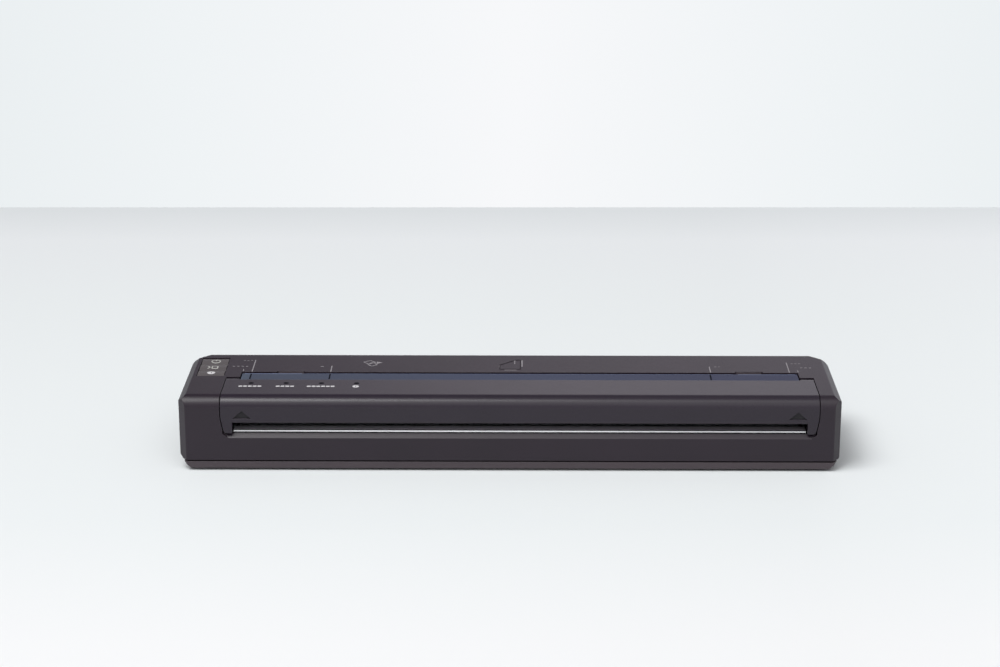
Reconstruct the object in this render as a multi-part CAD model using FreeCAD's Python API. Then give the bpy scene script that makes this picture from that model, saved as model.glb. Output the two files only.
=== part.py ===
import FreeCAD, Part
import math
import os

# A portable A4 thermal printer: a slim bar with a hinged release cover over its platen.
# X runs along the bar, Y from the front to the rear, Z up from the table. Millimetres.
# The origin is at the middle of the printer, on the surface that it stands on.

# Whole printer
body_width = 255.0
body_depth = 55.0
body_height = 30.0
ground_gap = 0.8
wall = 1.8
edge_round = 0.8
overrun = 2.0
top_side_run = 2.8
top_side_drop = 2.2
end_cut_run = 4.4
key_end_cut_rise = 5.2
plain_end_cut_rise = 4.2
front_top_round = 4.6
rear_top_round = 4.0
front_tuck = 0.7
rear_tuck = 1.0
front_corner_run = 2.8
front_corner_depth = 3.3
rear_corner_run = 5.3
rear_corner_depth = 8.6
rear_corner_round = 8.0
rear_bevel_setback = 2.4
rear_bevel_start = 8.0
rear_bevel_end = 7.5
parting_height = 4.2
parting_groove = 0.6
fit_gap = 0.1
loose_gap = 0.3
same_place = 0.000001

# Release cover and its hinge
key_end_width = 16.4
plain_end_width = 8.8
cover_gap = 0.35
hinge_setback = 21.7
cover_open_degrees = 60.0
ear_radius = 4.4
ear_width = 5.1
ear_relief = 0.35
hinge_pin_radius = 1.25
hinge_pin_head_radius = 2.0
hinge_pin_head = 0.8
hinge_pin_reach = 3.6
running_gap = 0.05
slot_drop = 10.15
slot_end_inset = 4.3
cheek_depth = 4.5
cheek_gap = 0.3
cheek_round = 1.5
cheek_lean = 1.2
lean_height = 6.5
lean_round = 14.0
side_wall_depth = 5.5
shelf_lead = 1.7
shelf_trail = 5.7
shelf_thickness = 1.6
rib_count = 5
rib_thickness = 1.0
rib_length = 10.5
rib_depth = 6.0
triangle_width = 7.0
triangle_height = 3.2
triangle_rise = 1.55
triangle_depth = 0.5
triangle_end_inset = 8.1
lobe_reach = 7.2
lobe_width = 1.6
lobe_length = 2.2
lobe_end_inset = 1.5
lobe_lean_degrees = 30.0

# Feed slot, its moulded edge strip and the curved guide under it
strip_lead = 0.3
strip_trail = 7.3
strip_end_gap = 0.6
strip_skirt = 3.6
strip_skirt_thickness = 1.5
feed_slot_width = 1.6
chute_thickness = 1.2
chute_drop = 4.4
notch_width = 11.0
notch_depth = 1.1
notch_drop = 2.4
notch_left_inset = 24.6
notch_right_inset = 24.4
guide_radius = 9.0
guide_thickness = 0.8

# Exit lip, tear bar and exit guide
exit_height = 4.65
lip_chamfer = 1.65
lip_end_inset = 0.9
lip_end_run = 2.3
tear_bar_setback = 2.3
tear_bar_depth = 4.2
tear_bar_thickness = 1.3
tear_bar_edge = 0.25
tear_bar_end_gap = 0.4
exit_guide_setback = 2.6
exit_guide_depth = 8.1
exit_guide_thickness = 1.2
exit_guide_leg = 1.2

# Keys
key_panel_inset = 4.1
key_panel_setback = 3.9
key_length = 11.1
key_pitch = 7.45
key_gap = 0.2
key_crown = 0.55
key_depth = 3.3
key_tab = 0.8
key_tab_thickness = 0.8
key_stem = 0.6
key_stem_radius = 1.2
key_edge = 0.3
plunger_radius = 0.7
plunger_height = 1.1
plunger_show = 0.65
switch_size = 4.5
switch_height = 1.1
key_names = ("wireless", "feed", "power")

# Indicators in the cover
led_inset = 10.3
led_pitch = 13.7
led_count = 4
led_lead = 4.5
led_radius = 0.65
light_bar_width = 1.6
light_bar_thickness = 0.8
led_board_setback = 3.5
led_board_depth = 6.8
led_board_thickness = 0.8
led_chip_size = 1.6
led_board_margin = 5.0
post_radius = 1.2

# Steel frame
plate_thickness = 1.0
plate_gap = 0.5
frame_bottom = 3.2
frame_front_gap = 5.1
frame_rear_gap = 4.5
frame_flange = 3.4
plate_front_gap = 5.5
left_plate_rear_gap = 3.5
right_plate_rear_gap = 7.5
plate_drop = 5.8
plate_hinge_margin = 2.2
plate_foot_length = 6.0
plate_foot_depth = 6.0
board_tab_depth = 2.4
key_board_screw_inset = 1.7
board_tab_thickness = 0.8

# Platen and its drive
platen_lead = 5.2
platen_cover_gap = 1.2
platen_radius = 5.0
platen_core = 3.2
platen_end_gap = 1.0
platen_shaft_radius = 1.5
bush_radius = 3.0
bush_flange_radius = 3.9
bush_flange = 0.9
shaft_end = 1.6
gear_module = 0.5
addendum_share = 0.85
dedendum_share = 1.2
tooth_tip_share = 0.11
tooth_pitch_share = 0.225
tooth_root_share = 0.33
platen_teeth = 18
idler_teeth = 20
compound_small_teeth = 14
compound_large_teeth = 32
pinion_teeth = 12
gear_face = 2.4
gear_gap = 0.3
gear_axle_radius = 1.0
clip_radius = 2.6
clip_thickness = 0.5

# Motor
motor_trail = 26.7
motor_drop = 7.5
motor_radius = 8.2
rotor_radius = 4.1
motor_length = 13.8
motor_flange = 16.6
motor_flange_thickness = 0.8
motor_shaft_radius = 0.75
motor_boss_radius = 2.5
motor_screw_radius = 0.8
motor_screw_head = 1.5
motor_screw_spread = 13.6

# Print head
paper_gap = 0.1
ridge_height = 0.35
ridge_width = 1.2
ceramic_lead = 3.5
ceramic_trail = 3.0
ceramic_thickness = 0.8
sink_lead = 4.5
sink_step_trail = 3.4
sink_trail = 10.0
sink_height = 4.75
sink_base = 2.2
driver_board_thickness = 0.8
driver_cover_width = 1.6
driver_cover_height = 0.9
driver_cover_trail = 3.8
bracket_thickness = 1.0
bracket_arm_gap = 2.6
pivot_trail = 14.0
pivot_drop = 0.5
pivot_radius = 1.5
pivot_eye_radius = 3.0
arm_rise = 2.6
tab_depth = 2.6
tab_rise = 8.8
spring_count = 5
spring_radius = 2.2
spring_wire = 0.4
spring_turns = 5.0
spring_end_margin = 24.0
seat_pin_radius = 1.3
seat_pin_height = 2.0

# Main board and what it carries
board_left_inset = 35.5
board_right_gap = 15.8
board_pivot_gap = 3.8
board_rear_gap = 4.1
board_bottom = 6.6
board_thickness = 1.4
standoff_radius = 1.9
standoff_inset = 3.0
board_screw_radius = 1.0
board_screw_head = 1.8
board_screw_head_height = 1.2
socket_inset = 14.0
socket_width = 9.0
socket_height = 3.2
socket_length = 7.4
socket_wall = 0.4
socket_tongue = 3.0
socket_opening_gap = 0.3
module_inset = 20.0
module_size = 14.0
module_height = 2.2
chip_size = 12.0
chip_height = 1.4
capacitor_radius = 3.2
capacitor_height = 9.0
head_plug_width = 22.0
head_plug_depth = 3.0
head_plug_height = 2.6
head_cable_width = 18.0
head_cable_thickness = 0.25
head_cable_height = 1.2
head_cable_bend = 5.9
head_cable_end = 8.0
head_plug_slot = 1.3

# Battery, its tray and its door
battery_left_gap = 4.8
battery_right_inset = 18.5
battery_pivot_gap = 4.2
battery_rear_gap = 2.9
battery_bottom = 7.0
battery_drop = 6.0
battery_round = 3.0
tray_wall = 1.0
contact_count = 4
contact_pitch = 3.0
contact_width = 1.6
contact_thickness = 0.3
contact_margin = 5.7
door_margin = 2.0
door_bottom = 6.4
door_drop = 4.8
door_gap = 0.3
door_pin_radius = 0.5
door_pin_length = 1.6
door_grip_width = 16.0
door_grip_height = 2.4
door_grip_depth = 0.7

# Sensors
sensor_width = 5.0
sensor_depth = 3.2
sensor_height = 2.2
sensor_lens_radius = 0.9
switch_box_width = 3.4
switch_box_depth = 5.0
switch_box_height = 5.4

# Fasteners and feet
left_front_screw = (6.2, 8.0)
left_rear_screw = (7.9, 5.1)
middle_screw_gap = 8.0
right_front_screw = (4.9, 8.0)
right_rear_screw = (4.9, 13.5)
case_boss_radius = 2.0
case_pillar_radius = 2.4
case_screw_radius = 0.9
case_screw_length = 14.0
case_screw_head = 1.7
case_screw_head_height = 1.1
case_screw_recess = 0.5
frame_screw_count = 5
frame_screw_inset = 18.7
frame_screw_setback = 10.5
frame_screw_radius = 1.0
frame_screw_head = 1.9
frame_screw_head_height = 1.0
frame_screw_length = 2.4
drive_arm_share = 0.64
drive_rib_share = 0.17
key_board_screw_radius = 0.67
foot_length = 14.0
foot_width = 6.0
foot_recess = 0.6
foot_end_inset = 19.0
foot_edge_inset = 8.5
label_length = 96.0
label_width = 22.0
label_depth = 0.3

# Places worked out from the sizes above
half_width = body_width / 2
half_depth = body_depth / 2
inner_top = body_height - wall
floor_top = ground_gap + wall
groove_low = parting_height - parting_groove / 2
groove_high = parting_height + parting_groove / 2
tongue_inset = wall + fit_gap
tongue_thickness = wall / 2
tongue_top = groove_high + wall

# Places along X
cover_left = -half_width + key_end_width
cover_right = half_width - plain_end_width
cover_middle = (cover_left + cover_right) / 2
open_left = cover_left - cover_gap
open_right = cover_right + cover_gap
ear_left = cover_left + ear_width
ear_right = cover_right - ear_width
slot_left = cover_left + slot_end_inset
slot_right = cover_right - slot_end_inset
left_plate_inner = cover_left - plate_gap
left_plate_outer = left_plate_inner - plate_thickness
right_plate_inner = cover_right + plate_gap
right_plate_outer = right_plate_inner + plate_thickness
rubber_left = ear_left + platen_end_gap
rubber_right = ear_right - platen_end_gap
gear_in_start = left_plate_outer - bush_flange - gear_gap
gear_in_end = gear_in_start - gear_face
gear_out_start = gear_in_end - gear_gap
gear_out_end = gear_out_start - gear_face
notch_middles = (cover_left + notch_left_inset, cover_right - notch_right_inset)
key_panel_left = -half_width + key_panel_inset
led_left = cover_left + led_inset
board_left = -half_width + board_left_inset
board_right = cover_middle - board_right_gap
socket_x = board_left + socket_inset
module_left = board_right - module_inset
battery_left = cover_middle - battery_left_gap
battery_right = half_width - battery_right_inset
door_left = battery_left - door_margin
door_right = battery_right + door_margin
sensor_x = cover_middle

# Places along Y
hinge_y = -half_depth + hinge_setback
strip_front = hinge_y - strip_lead
strip_rear = hinge_y + strip_trail
chute_y = strip_rear + feed_slot_width
shelf_front = hinge_y - shelf_lead
shelf_rear = hinge_y + shelf_trail
rib_rear = -half_depth + rib_length
tear_bar_front = -half_depth + tear_bar_setback
tear_bar_rear = tear_bar_front + tear_bar_depth
exit_guide_front = -half_depth + exit_guide_setback
exit_guide_rear = exit_guide_front + exit_guide_depth
key_panel_front = hinge_y + key_panel_setback
key_panel_rear = key_panel_front + key_pitch * len(key_names)
led_y = hinge_y - led_lead
led_board_front = -half_depth + led_board_setback
led_board_rear = led_board_front + led_board_depth
frame_front = -half_depth + frame_front_gap
frame_rear = half_depth - frame_rear_gap
plate_front = -half_depth + plate_front_gap
left_plate_rear = half_depth - left_plate_rear_gap
right_plate_rear = half_depth - right_plate_rear_gap
switch_box_front = plate_front
platen_y = hinge_y - platen_lead
ceramic_front = platen_y - ceramic_lead
ceramic_rear = platen_y + ceramic_trail
sink_front = platen_y - sink_lead
sink_step = platen_y + sink_step_trail
sink_rear = platen_y + sink_trail
driver_cover_front = platen_y + driver_cover_trail
pivot_y = platen_y + pivot_trail
tab_rear = platen_y + tab_depth
motor_y = platen_y + motor_trail
compound_y = motor_y - gear_module * (compound_large_teeth + pinion_teeth) / 2
board_front = pivot_y + board_pivot_gap
board_rear = half_depth - board_rear_gap
battery_front = pivot_y + battery_pivot_gap
battery_rear = half_depth - battery_rear_gap
door_axis_y = half_depth - wall / 2

# Heights
frame_top = frame_bottom + plate_thickness
hinge_z = body_height - ear_radius
slot_top = body_height - slot_drop
lip_height = slot_top - exit_height
triangle_bottom = slot_top + triangle_rise
side_wall_bottom = body_height - side_wall_depth
rib_bottom = body_height - rib_depth
chute_bottom = body_height - chute_drop
tear_bar_bottom = lip_height - fit_gap * 2
plate_rear_height = body_height - plate_drop
switch_box_top = plate_rear_height
key_bottom = body_height - key_depth
key_board_top = key_bottom - key_stem - plunger_show - switch_height
platen_z = inner_top - platen_cover_gap - platen_radius
heater_top = platen_z - platen_radius - paper_gap
ceramic_top = heater_top - ridge_height
sink_top = ceramic_top - ceramic_thickness
sink_bottom = sink_top - sink_height
sink_step_height = sink_bottom + sink_base
pivot_z = sink_bottom - pivot_drop
arm_top = sink_bottom + arm_rise
tab_top = sink_bottom + tab_rise
motor_z = platen_z - motor_drop
compound_z = motor_z
board_top = board_bottom + board_thickness
battery_top = body_height - battery_drop
door_top = body_height - door_drop
door_axis_z = door_bottom + wall / 2

# Gear teeth and screws
addendum = gear_module * addendum_share
dedendum = gear_module * dedendum_share
case_screw_places = (
    (-half_width + left_front_screw[0], -half_depth + left_front_screw[1]),
    (-half_width + left_rear_screw[0], half_depth - left_rear_screw[1]),
    (battery_left - middle_screw_gap, half_depth - left_rear_screw[1]),
    (half_width - right_front_screw[0], -half_depth + right_front_screw[1]),
    (half_width - right_rear_screw[0], half_depth - right_rear_screw[1]),
)


def block(x_span, y_span, z_span):
    """A box between two places along each axis."""
    corner = FreeCAD.Vector(x_span[0], y_span[0], z_span[0])
    return Part.makeBox(x_span[1] - x_span[0], y_span[1] - y_span[0], z_span[1] - z_span[0], corner)


def rod_x(x_span, y, z, radius):
    """A round bar along X."""
    start = FreeCAD.Vector(x_span[0], y, z)
    return Part.makeCylinder(radius, x_span[1] - x_span[0], start, FreeCAD.Vector(1, 0, 0))


def rod_z(x, y, z_span, radius):
    """A round bar along Z."""
    return Part.makeCylinder(radius, z_span[1] - z_span[0], FreeCAD.Vector(x, y, z_span[0]))


def outline_face(corners, place):
    """A flat face inside corners (u, v, radius), each corner rounded by a tangent arc."""
    points = [FreeCAD.Vector(u, v, 0) for u, v, _ in corners]
    stops = []
    for index, (_, _, radius) in enumerate(corners):
        here = points[index]
        back = (points[index - 1] - here).normalize()
        ahead = (points[(index + 1) % len(points)] - here).normalize()
        if radius > 0:
            half_turn = back.getAngle(ahead) / 2
            reach = radius / math.tan(half_turn)
            middle = here + (back + ahead).normalize() * (radius / math.sin(half_turn) - radius)
            stops.append((here + back * reach, middle, here + ahead * reach))
        else:
            stops.append((here, None, here))
    edges = []
    for index, (start, middle, end) in enumerate(stops):
        if middle is not None:
            edges.append(Part.Arc(place(start), place(middle), place(end)).toShape())
        following = stops[(index + 1) % len(stops)][0]
        if end.distanceToPoint(following) > same_place:
            edges.append(Part.LineSegment(place(end), place(following)).toShape())
    return Part.Face(Part.Wire(edges))


def prism_x(corners, x_span):
    """An outline of (y, z, radius) corners, drawn out along X."""
    face = outline_face(corners, lambda p: FreeCAD.Vector(x_span[0], p.x, p.y))
    return face.extrude(FreeCAD.Vector(x_span[1] - x_span[0], 0, 0))


def prism_y(corners, y_span):
    """An outline of (x, z, radius) corners, drawn out along Y."""
    face = outline_face(corners, lambda p: FreeCAD.Vector(p.x, y_span[0], p.y))
    return face.extrude(FreeCAD.Vector(0, y_span[1] - y_span[0], 0))


def prism_z(corners, z_span):
    """An outline of (x, y, radius) corners, drawn out along Z."""
    face = outline_face(corners, lambda p: FreeCAD.Vector(p.x, p.y, z_span[0]))
    return face.extrude(FreeCAD.Vector(0, 0, z_span[1] - z_span[0]))


def spread(first, last, count):
    """Evenly spaced places from the first to the last."""
    step = (last - first) / (count - 1)
    return [first + step * index for index in range(count)]


def frame_screw_places():
    """Places of the screws along the front of the steel frame."""
    row = spread(cover_left + frame_screw_inset, cover_right - frame_screw_inset, frame_screw_count)
    return [(x, -half_depth + frame_screw_setback) for x in row]


def joined(first, *others):
    """One solid out of several that meet."""
    return first.multiFuse(list(others)).removeSplitter()


def without(shape, *tools):
    """A shape with every tool cut out of it."""
    return shape.cut(list(tools))


def save(name, *solids):
    """Write one node; several solids make a group."""
    shape = solids[0] if len(solids) == 1 else Part.makeCompound(list(solids))
    shape.exportStep(os.path.join("parts", name + ".step"))


def corner_bevels(inset):
    """Two blocks that slope the top's rear corners like the top's sides, for hull()."""
    slope = math.atan2(top_side_drop, top_side_run)
    tools = []
    for side in (-1, 1):
        start = FreeCAD.Vector(
            side * (half_width - rear_bevel_start), half_depth - rear_bevel_setback, body_height
        )
        end = FreeCAD.Vector(side * (half_width - top_side_run), half_depth - rear_bevel_end, body_height)
        along = (end - start).normalize()
        outward = FreeCAD.Vector(side * abs(along.y), abs(along.x), 0)
        normal = outward * math.sin(slope) + FreeCAD.Vector(0, 0, math.cos(slope))
        tool = block((-body_depth, body_depth), (-body_depth, body_depth), (0, body_depth))
        turn = FreeCAD.Rotation(FreeCAD.Vector(0, 0, 1), normal)
        tool.Placement = FreeCAD.Placement(start - normal * inset, turn)
        tools.append(tool)
    return tools


def hull(inset, lift=None):
    """The printer's outer form, drawn in by an inset, and raised at the bottom by a lift."""
    lift = inset if lift is None else lift
    across = half_width - inset
    deep = half_depth - inset
    top = body_height - inset
    bottom = ground_gap + lift
    front_view = [
        (-across, bottom + key_end_cut_rise, edge_round),
        (-across + end_cut_run, bottom, edge_round),
        (across - end_cut_run, bottom, edge_round),
        (across, bottom + plain_end_cut_rise, edge_round),
        (across, top - top_side_drop, edge_round),
        (across - top_side_run, top, edge_round),
        (-across + top_side_run, top, edge_round),
        (-across, top - top_side_drop, edge_round),
    ]
    tuck_top = parting_height + lift
    side_view = [
        (-deep + front_tuck, bottom, edge_round),
        (deep - rear_tuck, bottom, edge_round),
        (deep, tuck_top, edge_round),
        (deep, top, rear_top_round),
        (-deep, top, front_top_round),
        (-deep, tuck_top, edge_round),
    ]
    plan_view = [
        (-across + front_corner_run, -deep, edge_round),
        (across - front_corner_run, -deep, edge_round),
        (across, -deep + front_corner_depth, edge_round),
        (across, deep - rear_corner_depth, rear_corner_run),
        (across - rear_corner_run, deep, rear_corner_round - inset),
        (-across + rear_corner_run, deep, rear_corner_round - inset),
        (-across, deep - rear_corner_depth, rear_corner_run),
        (-across, -deep + front_corner_depth, edge_round),
    ]
    along_y = prism_y(front_view, (-half_depth - overrun, half_depth + overrun))
    along_x = prism_x(side_view, (-half_width - overrun, half_width + overrun))
    along_z = prism_z(plan_view, (-overrun, body_height + overrun))
    return without(along_y.common(along_x).common(along_z), *corner_bevels(inset))


def band(shape, z_span):
    """The stretch of a shape between two heights."""
    return shape.common(block((-body_width, body_width), (-body_depth, body_depth), z_span))


def cover_opening(gap):
    """The space that the release cover fills in the housing, wider by a gap.

    Its sides are upright above and lean in towards the lip."""
    corner = cheek_round + gap
    front_outline = [
        (cover_left + cheek_lean - gap, lip_height, corner),
        (cover_right - cheek_lean + gap, lip_height, corner),
        (cover_right + gap, lip_height + lean_height, lean_round),
        (cover_right + gap, body_height + overrun, 0),
        (cover_left - gap, body_height + overrun, 0),
        (cover_left - gap, lip_height + lean_height, lean_round),
    ]
    return prism_y(front_outline, (-half_depth - overrun, hinge_y))


def ear_space(x_span):
    """The hollow round an ear, with room behind it for the opened cover's top face."""
    reach = ear_radius + ear_relief
    lean = math.radians(cover_open_degrees)
    edge = (reach - ear_radius * math.cos(lean)) / math.sin(lean)
    behind = block(x_span, (hinge_y, hinge_y + edge), (hinge_z, body_height + overrun))
    return rod_x(x_span, hinge_y, hinge_z, reach).fuse(behind)


def lip_wedge():
    """The sloping band under the exit slot, with slanted ends."""
    section = [
        (-half_depth - overrun, lip_height + overrun, 0),
        (-half_depth - overrun, lip_height - lip_chamfer - overrun, 0),
        (-half_depth + lip_chamfer + overrun, lip_height + overrun, 0),
    ]
    ends = [
        (open_left + lip_end_inset, body_height, 0),
        (open_left + lip_end_inset, lip_height, 0),
        (open_left + lip_end_inset + lip_end_run, lip_height - lip_chamfer, 0),
        (open_right - lip_end_inset - lip_end_run, lip_height - lip_chamfer, 0),
        (open_right - lip_end_inset, lip_height, 0),
        (open_right - lip_end_inset, body_height, 0),
    ]
    wedge = prism_x(section, (open_left, open_right))
    return wedge.common(prism_y(ends, (-half_depth - overrun * 2, frame_front)))


def key_opening():
    """The hole in the top skin that holds the row of keys."""
    return block(
        (key_panel_left, key_panel_left + key_length),
        (key_panel_front, key_panel_rear),
        (inner_top - top_side_drop - wall, body_height + overrun),
    )


def socket_opening():
    """The hole in the rear wall in front of the charging and data socket."""
    reach = socket_width / 2 + socket_opening_gap
    height = socket_height / 2 + socket_opening_gap
    middle = board_top + socket_height / 2
    round_end = height - fit_gap
    corners = [
        (socket_x - reach, middle - height, round_end),
        (socket_x + reach, middle - height, round_end),
        (socket_x + reach, middle + height, round_end),
        (socket_x - reach, middle + height, round_end),
    ]
    return prism_y(corners, (battery_rear, half_depth + overrun))


def door_opening():
    """The hole in the rear wall that the battery door closes."""
    return block(
        (door_left - door_gap, door_right + door_gap),
        (half_depth - wall - overrun, half_depth + overrun),
        (door_bottom - door_gap, door_top + door_gap),
    )


def make_top_housing():
    """The upper shell, with its skin, chute wall and screw bosses."""
    shell = without(band(hull(0), (groove_high, body_height + overrun)), hull(wall))
    chute = block(
        (ear_left, ear_right), (chute_y, chute_y + chute_thickness), (chute_bottom, inner_top + wall / 2)
    )
    boss_span = (groove_high, inner_top + wall / 2)
    bosses = [rod_z(x, y, boss_span, case_boss_radius) for x, y in case_screw_places]
    holes = [
        rod_z(x, y, (0, case_screw_recess + ground_gap + case_screw_length), case_screw_radius)
        for x, y in case_screw_places
    ]
    reliefs = [ear_space((open_left, ear_left)), ear_space((ear_right, open_right))]
    slot = block((ear_left, ear_right), (hinge_y - overrun, chute_y), (chute_bottom, body_height + overrun))
    notches = [
        block(
            (middle - notch_width / 2, middle + notch_width / 2),
            (chute_y - overrun, chute_y + notch_depth),
            (body_height - notch_drop, body_height + overrun),
        )
        for middle in notch_middles
    ]
    pin_holes = rod_x(
        (door_left - door_gap - door_pin_length, door_right + door_gap + door_pin_length),
        door_axis_y, door_axis_z, door_pin_radius + running_gap,
    )
    shell = joined(shell, chute, *[boss.common(hull(wall / 2)) for boss in bosses])
    return without(
        shell, cover_opening(cover_gap), *reliefs, slot, lip_wedge(), key_opening(),
        socket_opening(), door_opening(), pin_holes, *notches, *holes,
    )


def foot_places():
    """Middles of the four feet."""
    across = half_width - foot_end_inset
    deep = half_depth - foot_edge_inset
    return [(side * across, end * deep) for side in (-1, 1) for end in (-1, 1)]


def foot_block(z_span):
    """One block per foot, with rounded ends, between two heights."""
    blocks = []
    for x, y in foot_places():
        corners = [
            (x - foot_length / 2, y - foot_width / 2, foot_width / 2 - fit_gap),
            (x + foot_length / 2, y - foot_width / 2, foot_width / 2 - fit_gap),
            (x + foot_length / 2, y + foot_width / 2, foot_width / 2 - fit_gap),
            (x - foot_length / 2, y + foot_width / 2, foot_width / 2 - fit_gap),
        ]
        blocks.append(prism_z(corners, z_span))
    return blocks


def make_bottom_cover():
    """The lower shell: tray, tongue inside the housing, pillars and seats."""
    tray = without(band(hull(0), (0, groove_low)), hull(wall))
    inner_line = tongue_inset + tongue_thickness
    low_ring = without(band(hull(wall / 2), (ground_gap, groove_low)), hull(inner_line, wall))
    high_ring = without(band(hull(tongue_inset), (groove_low, tongue_top)), hull(inner_line, wall))
    root = floor_top - wall / 2
    pillars = [rod_z(x, y, (root, groove_high), case_pillar_radius) for x, y in case_screw_places]
    seats = [rod_z(x, y, (root, frame_bottom), frame_screw_head) for x, y in frame_screw_places()]
    screw_start = ground_gap + case_screw_recess + case_screw_head_height
    tools = []
    for x, y in case_screw_places:
        tools.append(rod_z(x, y, (0, screw_start), case_screw_head + fit_gap))
        tools.append(rod_z(x, y, (0, groove_high + overrun), case_screw_radius + fit_gap))
    for x, y in frame_screw_places():
        hole_bottom = frame_top - frame_screw_length
        tools.append(rod_z(x, y, (hole_bottom, frame_top), frame_screw_radius))
    label = block(
        (cover_middle - label_length / 2, cover_middle + label_length / 2),
        (-label_width / 2, label_width / 2),
        (0, ground_gap + label_depth),
    )
    boss_clearance = [
        rod_z(x, y, (groove_high, tongue_top + overrun), case_boss_radius + fit_gap)
        for x, y in case_screw_places
    ]
    whole = joined(tray, low_ring, high_ring, *[p.common(hull(wall / 2)) for p in pillars], *seats)
    return without(whole, label, *foot_block((0, ground_gap + foot_recess)), *boss_clearance, *tools)


def make_rubber_feet():
    """Four pads in their recesses, which carry the printer."""
    return foot_block((0, ground_gap + foot_recess))


def screw(x, y, z_head, z_tip, radius, head_radius, head_height):
    """A pan-headed screw along Z, its head at z_head on the side away from the tip."""
    rises = z_tip > z_head
    shank = rod_z(x, y, (min(z_head, z_tip), max(z_head, z_tip)), radius)
    outer = z_head - head_height if rises else z_head + head_height
    head = rod_z(x, y, (min(z_head, outer), max(z_head, outer)), head_radius)
    inner = outer + head_height / 2 if rises else outer - head_height / 2
    cut = (min(outer, inner), max(outer, inner))
    arm = head_radius * drive_arm_share
    rib = head_radius * drive_rib_share
    along_x = block((x - arm, x + arm), (y - rib, y + rib), cut)
    along_y = block((x - rib, x + rib), (y - arm, y + arm), cut)
    return without(joined(shank, head), along_x.fuse(along_y))


def make_case_screws():
    """Long screws that come up through the bottom cover into the housing's bosses."""
    start = ground_gap + case_screw_recess + case_screw_head_height
    tip = ground_gap + case_screw_recess + case_screw_length - overrun
    return [
        screw(x, y, start, tip, case_screw_radius, case_screw_head, case_screw_head_height)
        for x, y in case_screw_places
    ]


def make_frame_screws():
    """Short screws that hold the steel frame down on the bottom cover."""
    return [
        screw(x, y, frame_top, frame_top - frame_screw_length, frame_screw_radius, frame_screw_head,
              frame_screw_head_height)
        for x, y in frame_screw_places()
    ]


def spring_places():
    """Places of the head springs along X."""
    return spread(rubber_left + spring_end_margin, rubber_right - spring_end_margin, spring_count)


def make_base_frame():
    """The bent steel base with its front flange and the pins for the head springs."""
    plate_span = (left_plate_outer, right_plate_outer)
    plate = block(plate_span, (frame_front, frame_rear), (frame_bottom, frame_top))
    foot_room = plate_foot_length + loose_gap
    flange = block(
        (left_plate_inner + foot_room, right_plate_inner - foot_room),
        (frame_front, frame_front + plate_thickness), (frame_bottom, frame_top + frame_flange),
    )
    pin_span = (frame_bottom, frame_top + seat_pin_height)
    pins = [rod_z(x, platen_y, pin_span, seat_pin_radius) for x in spring_places()]
    holes = [rod_z(x, y, (0, body_height), frame_screw_radius + fit_gap) for x, y in frame_screw_places()]
    clear = [rod_z(x, y, (0, body_height), case_pillar_radius + loose_gap) for x, y in case_screw_places]
    return without(joined(plate, flange, *pins), *holes, *clear)


def plate_outline(plate_rear):
    """A side plate's shape, seen from the end."""
    hinge_top = hinge_z + plate_hinge_margin
    return [
        (plate_front, frame_top, 0),
        (plate_rear, frame_top, 0),
        (plate_rear, plate_rear_height, edge_round),
        (key_panel_front - loose_gap, plate_rear_height, edge_round),
        (hinge_y + plate_hinge_margin, hinge_top, edge_round),
        (hinge_y - ear_radius * 2, hinge_top, edge_round),
        (plate_front, switch_box_top, edge_round),
    ]


def make_side_plate(x_span, foot_side, plate_rear):
    """A side plate with its bent feet and the holes of everything that it carries."""
    sheet = prism_x(plate_outline(plate_rear), x_span)
    foot_edge = x_span[1] if foot_side > 0 else x_span[0]
    reach = sorted((foot_edge, foot_edge + foot_side * plate_foot_length))
    feet = [
        block(reach, (start, start + plate_foot_depth), (frame_top, frame_top + plate_thickness))
        for start in (plate_front, plate_rear - plate_foot_depth)
    ]
    holes = [
        rod_x(x_span, platen_y, platen_z, bush_radius),
        rod_x(x_span, hinge_y, hinge_z, hinge_pin_radius),
        rod_x(x_span, pivot_y, pivot_z, pivot_radius),
    ]
    return without(joined(sheet, *feet), *holes)


def key_board_span():
    """Front and rear edges of the key board."""
    return hinge_y + hinge_pin_head_radius + loose_gap, key_panel_rear - fit_gap


def board_tab_spans():
    """Y spans of the two tabs that carry the key board."""
    front, rear = key_board_span()
    tail = rear - loose_gap - board_tab_depth
    return [(front, front + board_tab_depth), (tail, tail + board_tab_depth)]


def key_board_bottom():
    """Height of the key board's underside."""
    return key_board_top - board_tab_thickness


def motor_screw_places():
    """Places of the four screws at the corners of the motor's flange."""
    reach = motor_screw_spread / 2
    return [(motor_y + y * reach, motor_z + z * reach) for y in (-1, 1) for z in (-1, 1)]


def make_left_side_plate():
    """The drive-side plate, which also carries the motor, the gears and the key board."""
    plate = make_side_plate((left_plate_outer, left_plate_inner), 1, left_plate_rear)
    tabs = []
    for span in board_tab_spans():
        riser = block(
            (left_plate_outer, left_plate_inner), span, (plate_rear_height - wall, key_board_bottom())
        )
        shelf = block(
            (key_panel_left, left_plate_inner), span,
            (key_board_bottom() - board_tab_thickness, key_board_bottom()),
        )
        tabs.extend((riser, shelf))
    span = (left_plate_outer, left_plate_inner)
    holes = [rod_x(span, y, z, motor_screw_radius) for y, z in motor_screw_places()]
    holes.append(rod_x(span, motor_y, motor_z, motor_boss_radius))
    for y, z in gear_axle_places():
        holes.append(rod_x(span, y, z, gear_axle_radius))
    tab_span = (key_board_bottom() - wall, key_board_bottom() + wall)
    screw_holes = [rod_z(x, y, tab_span, key_board_screw_radius) for x, y in key_board_screw_places()]
    return without(joined(plate, *tabs), *holes, *screw_holes)


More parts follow.
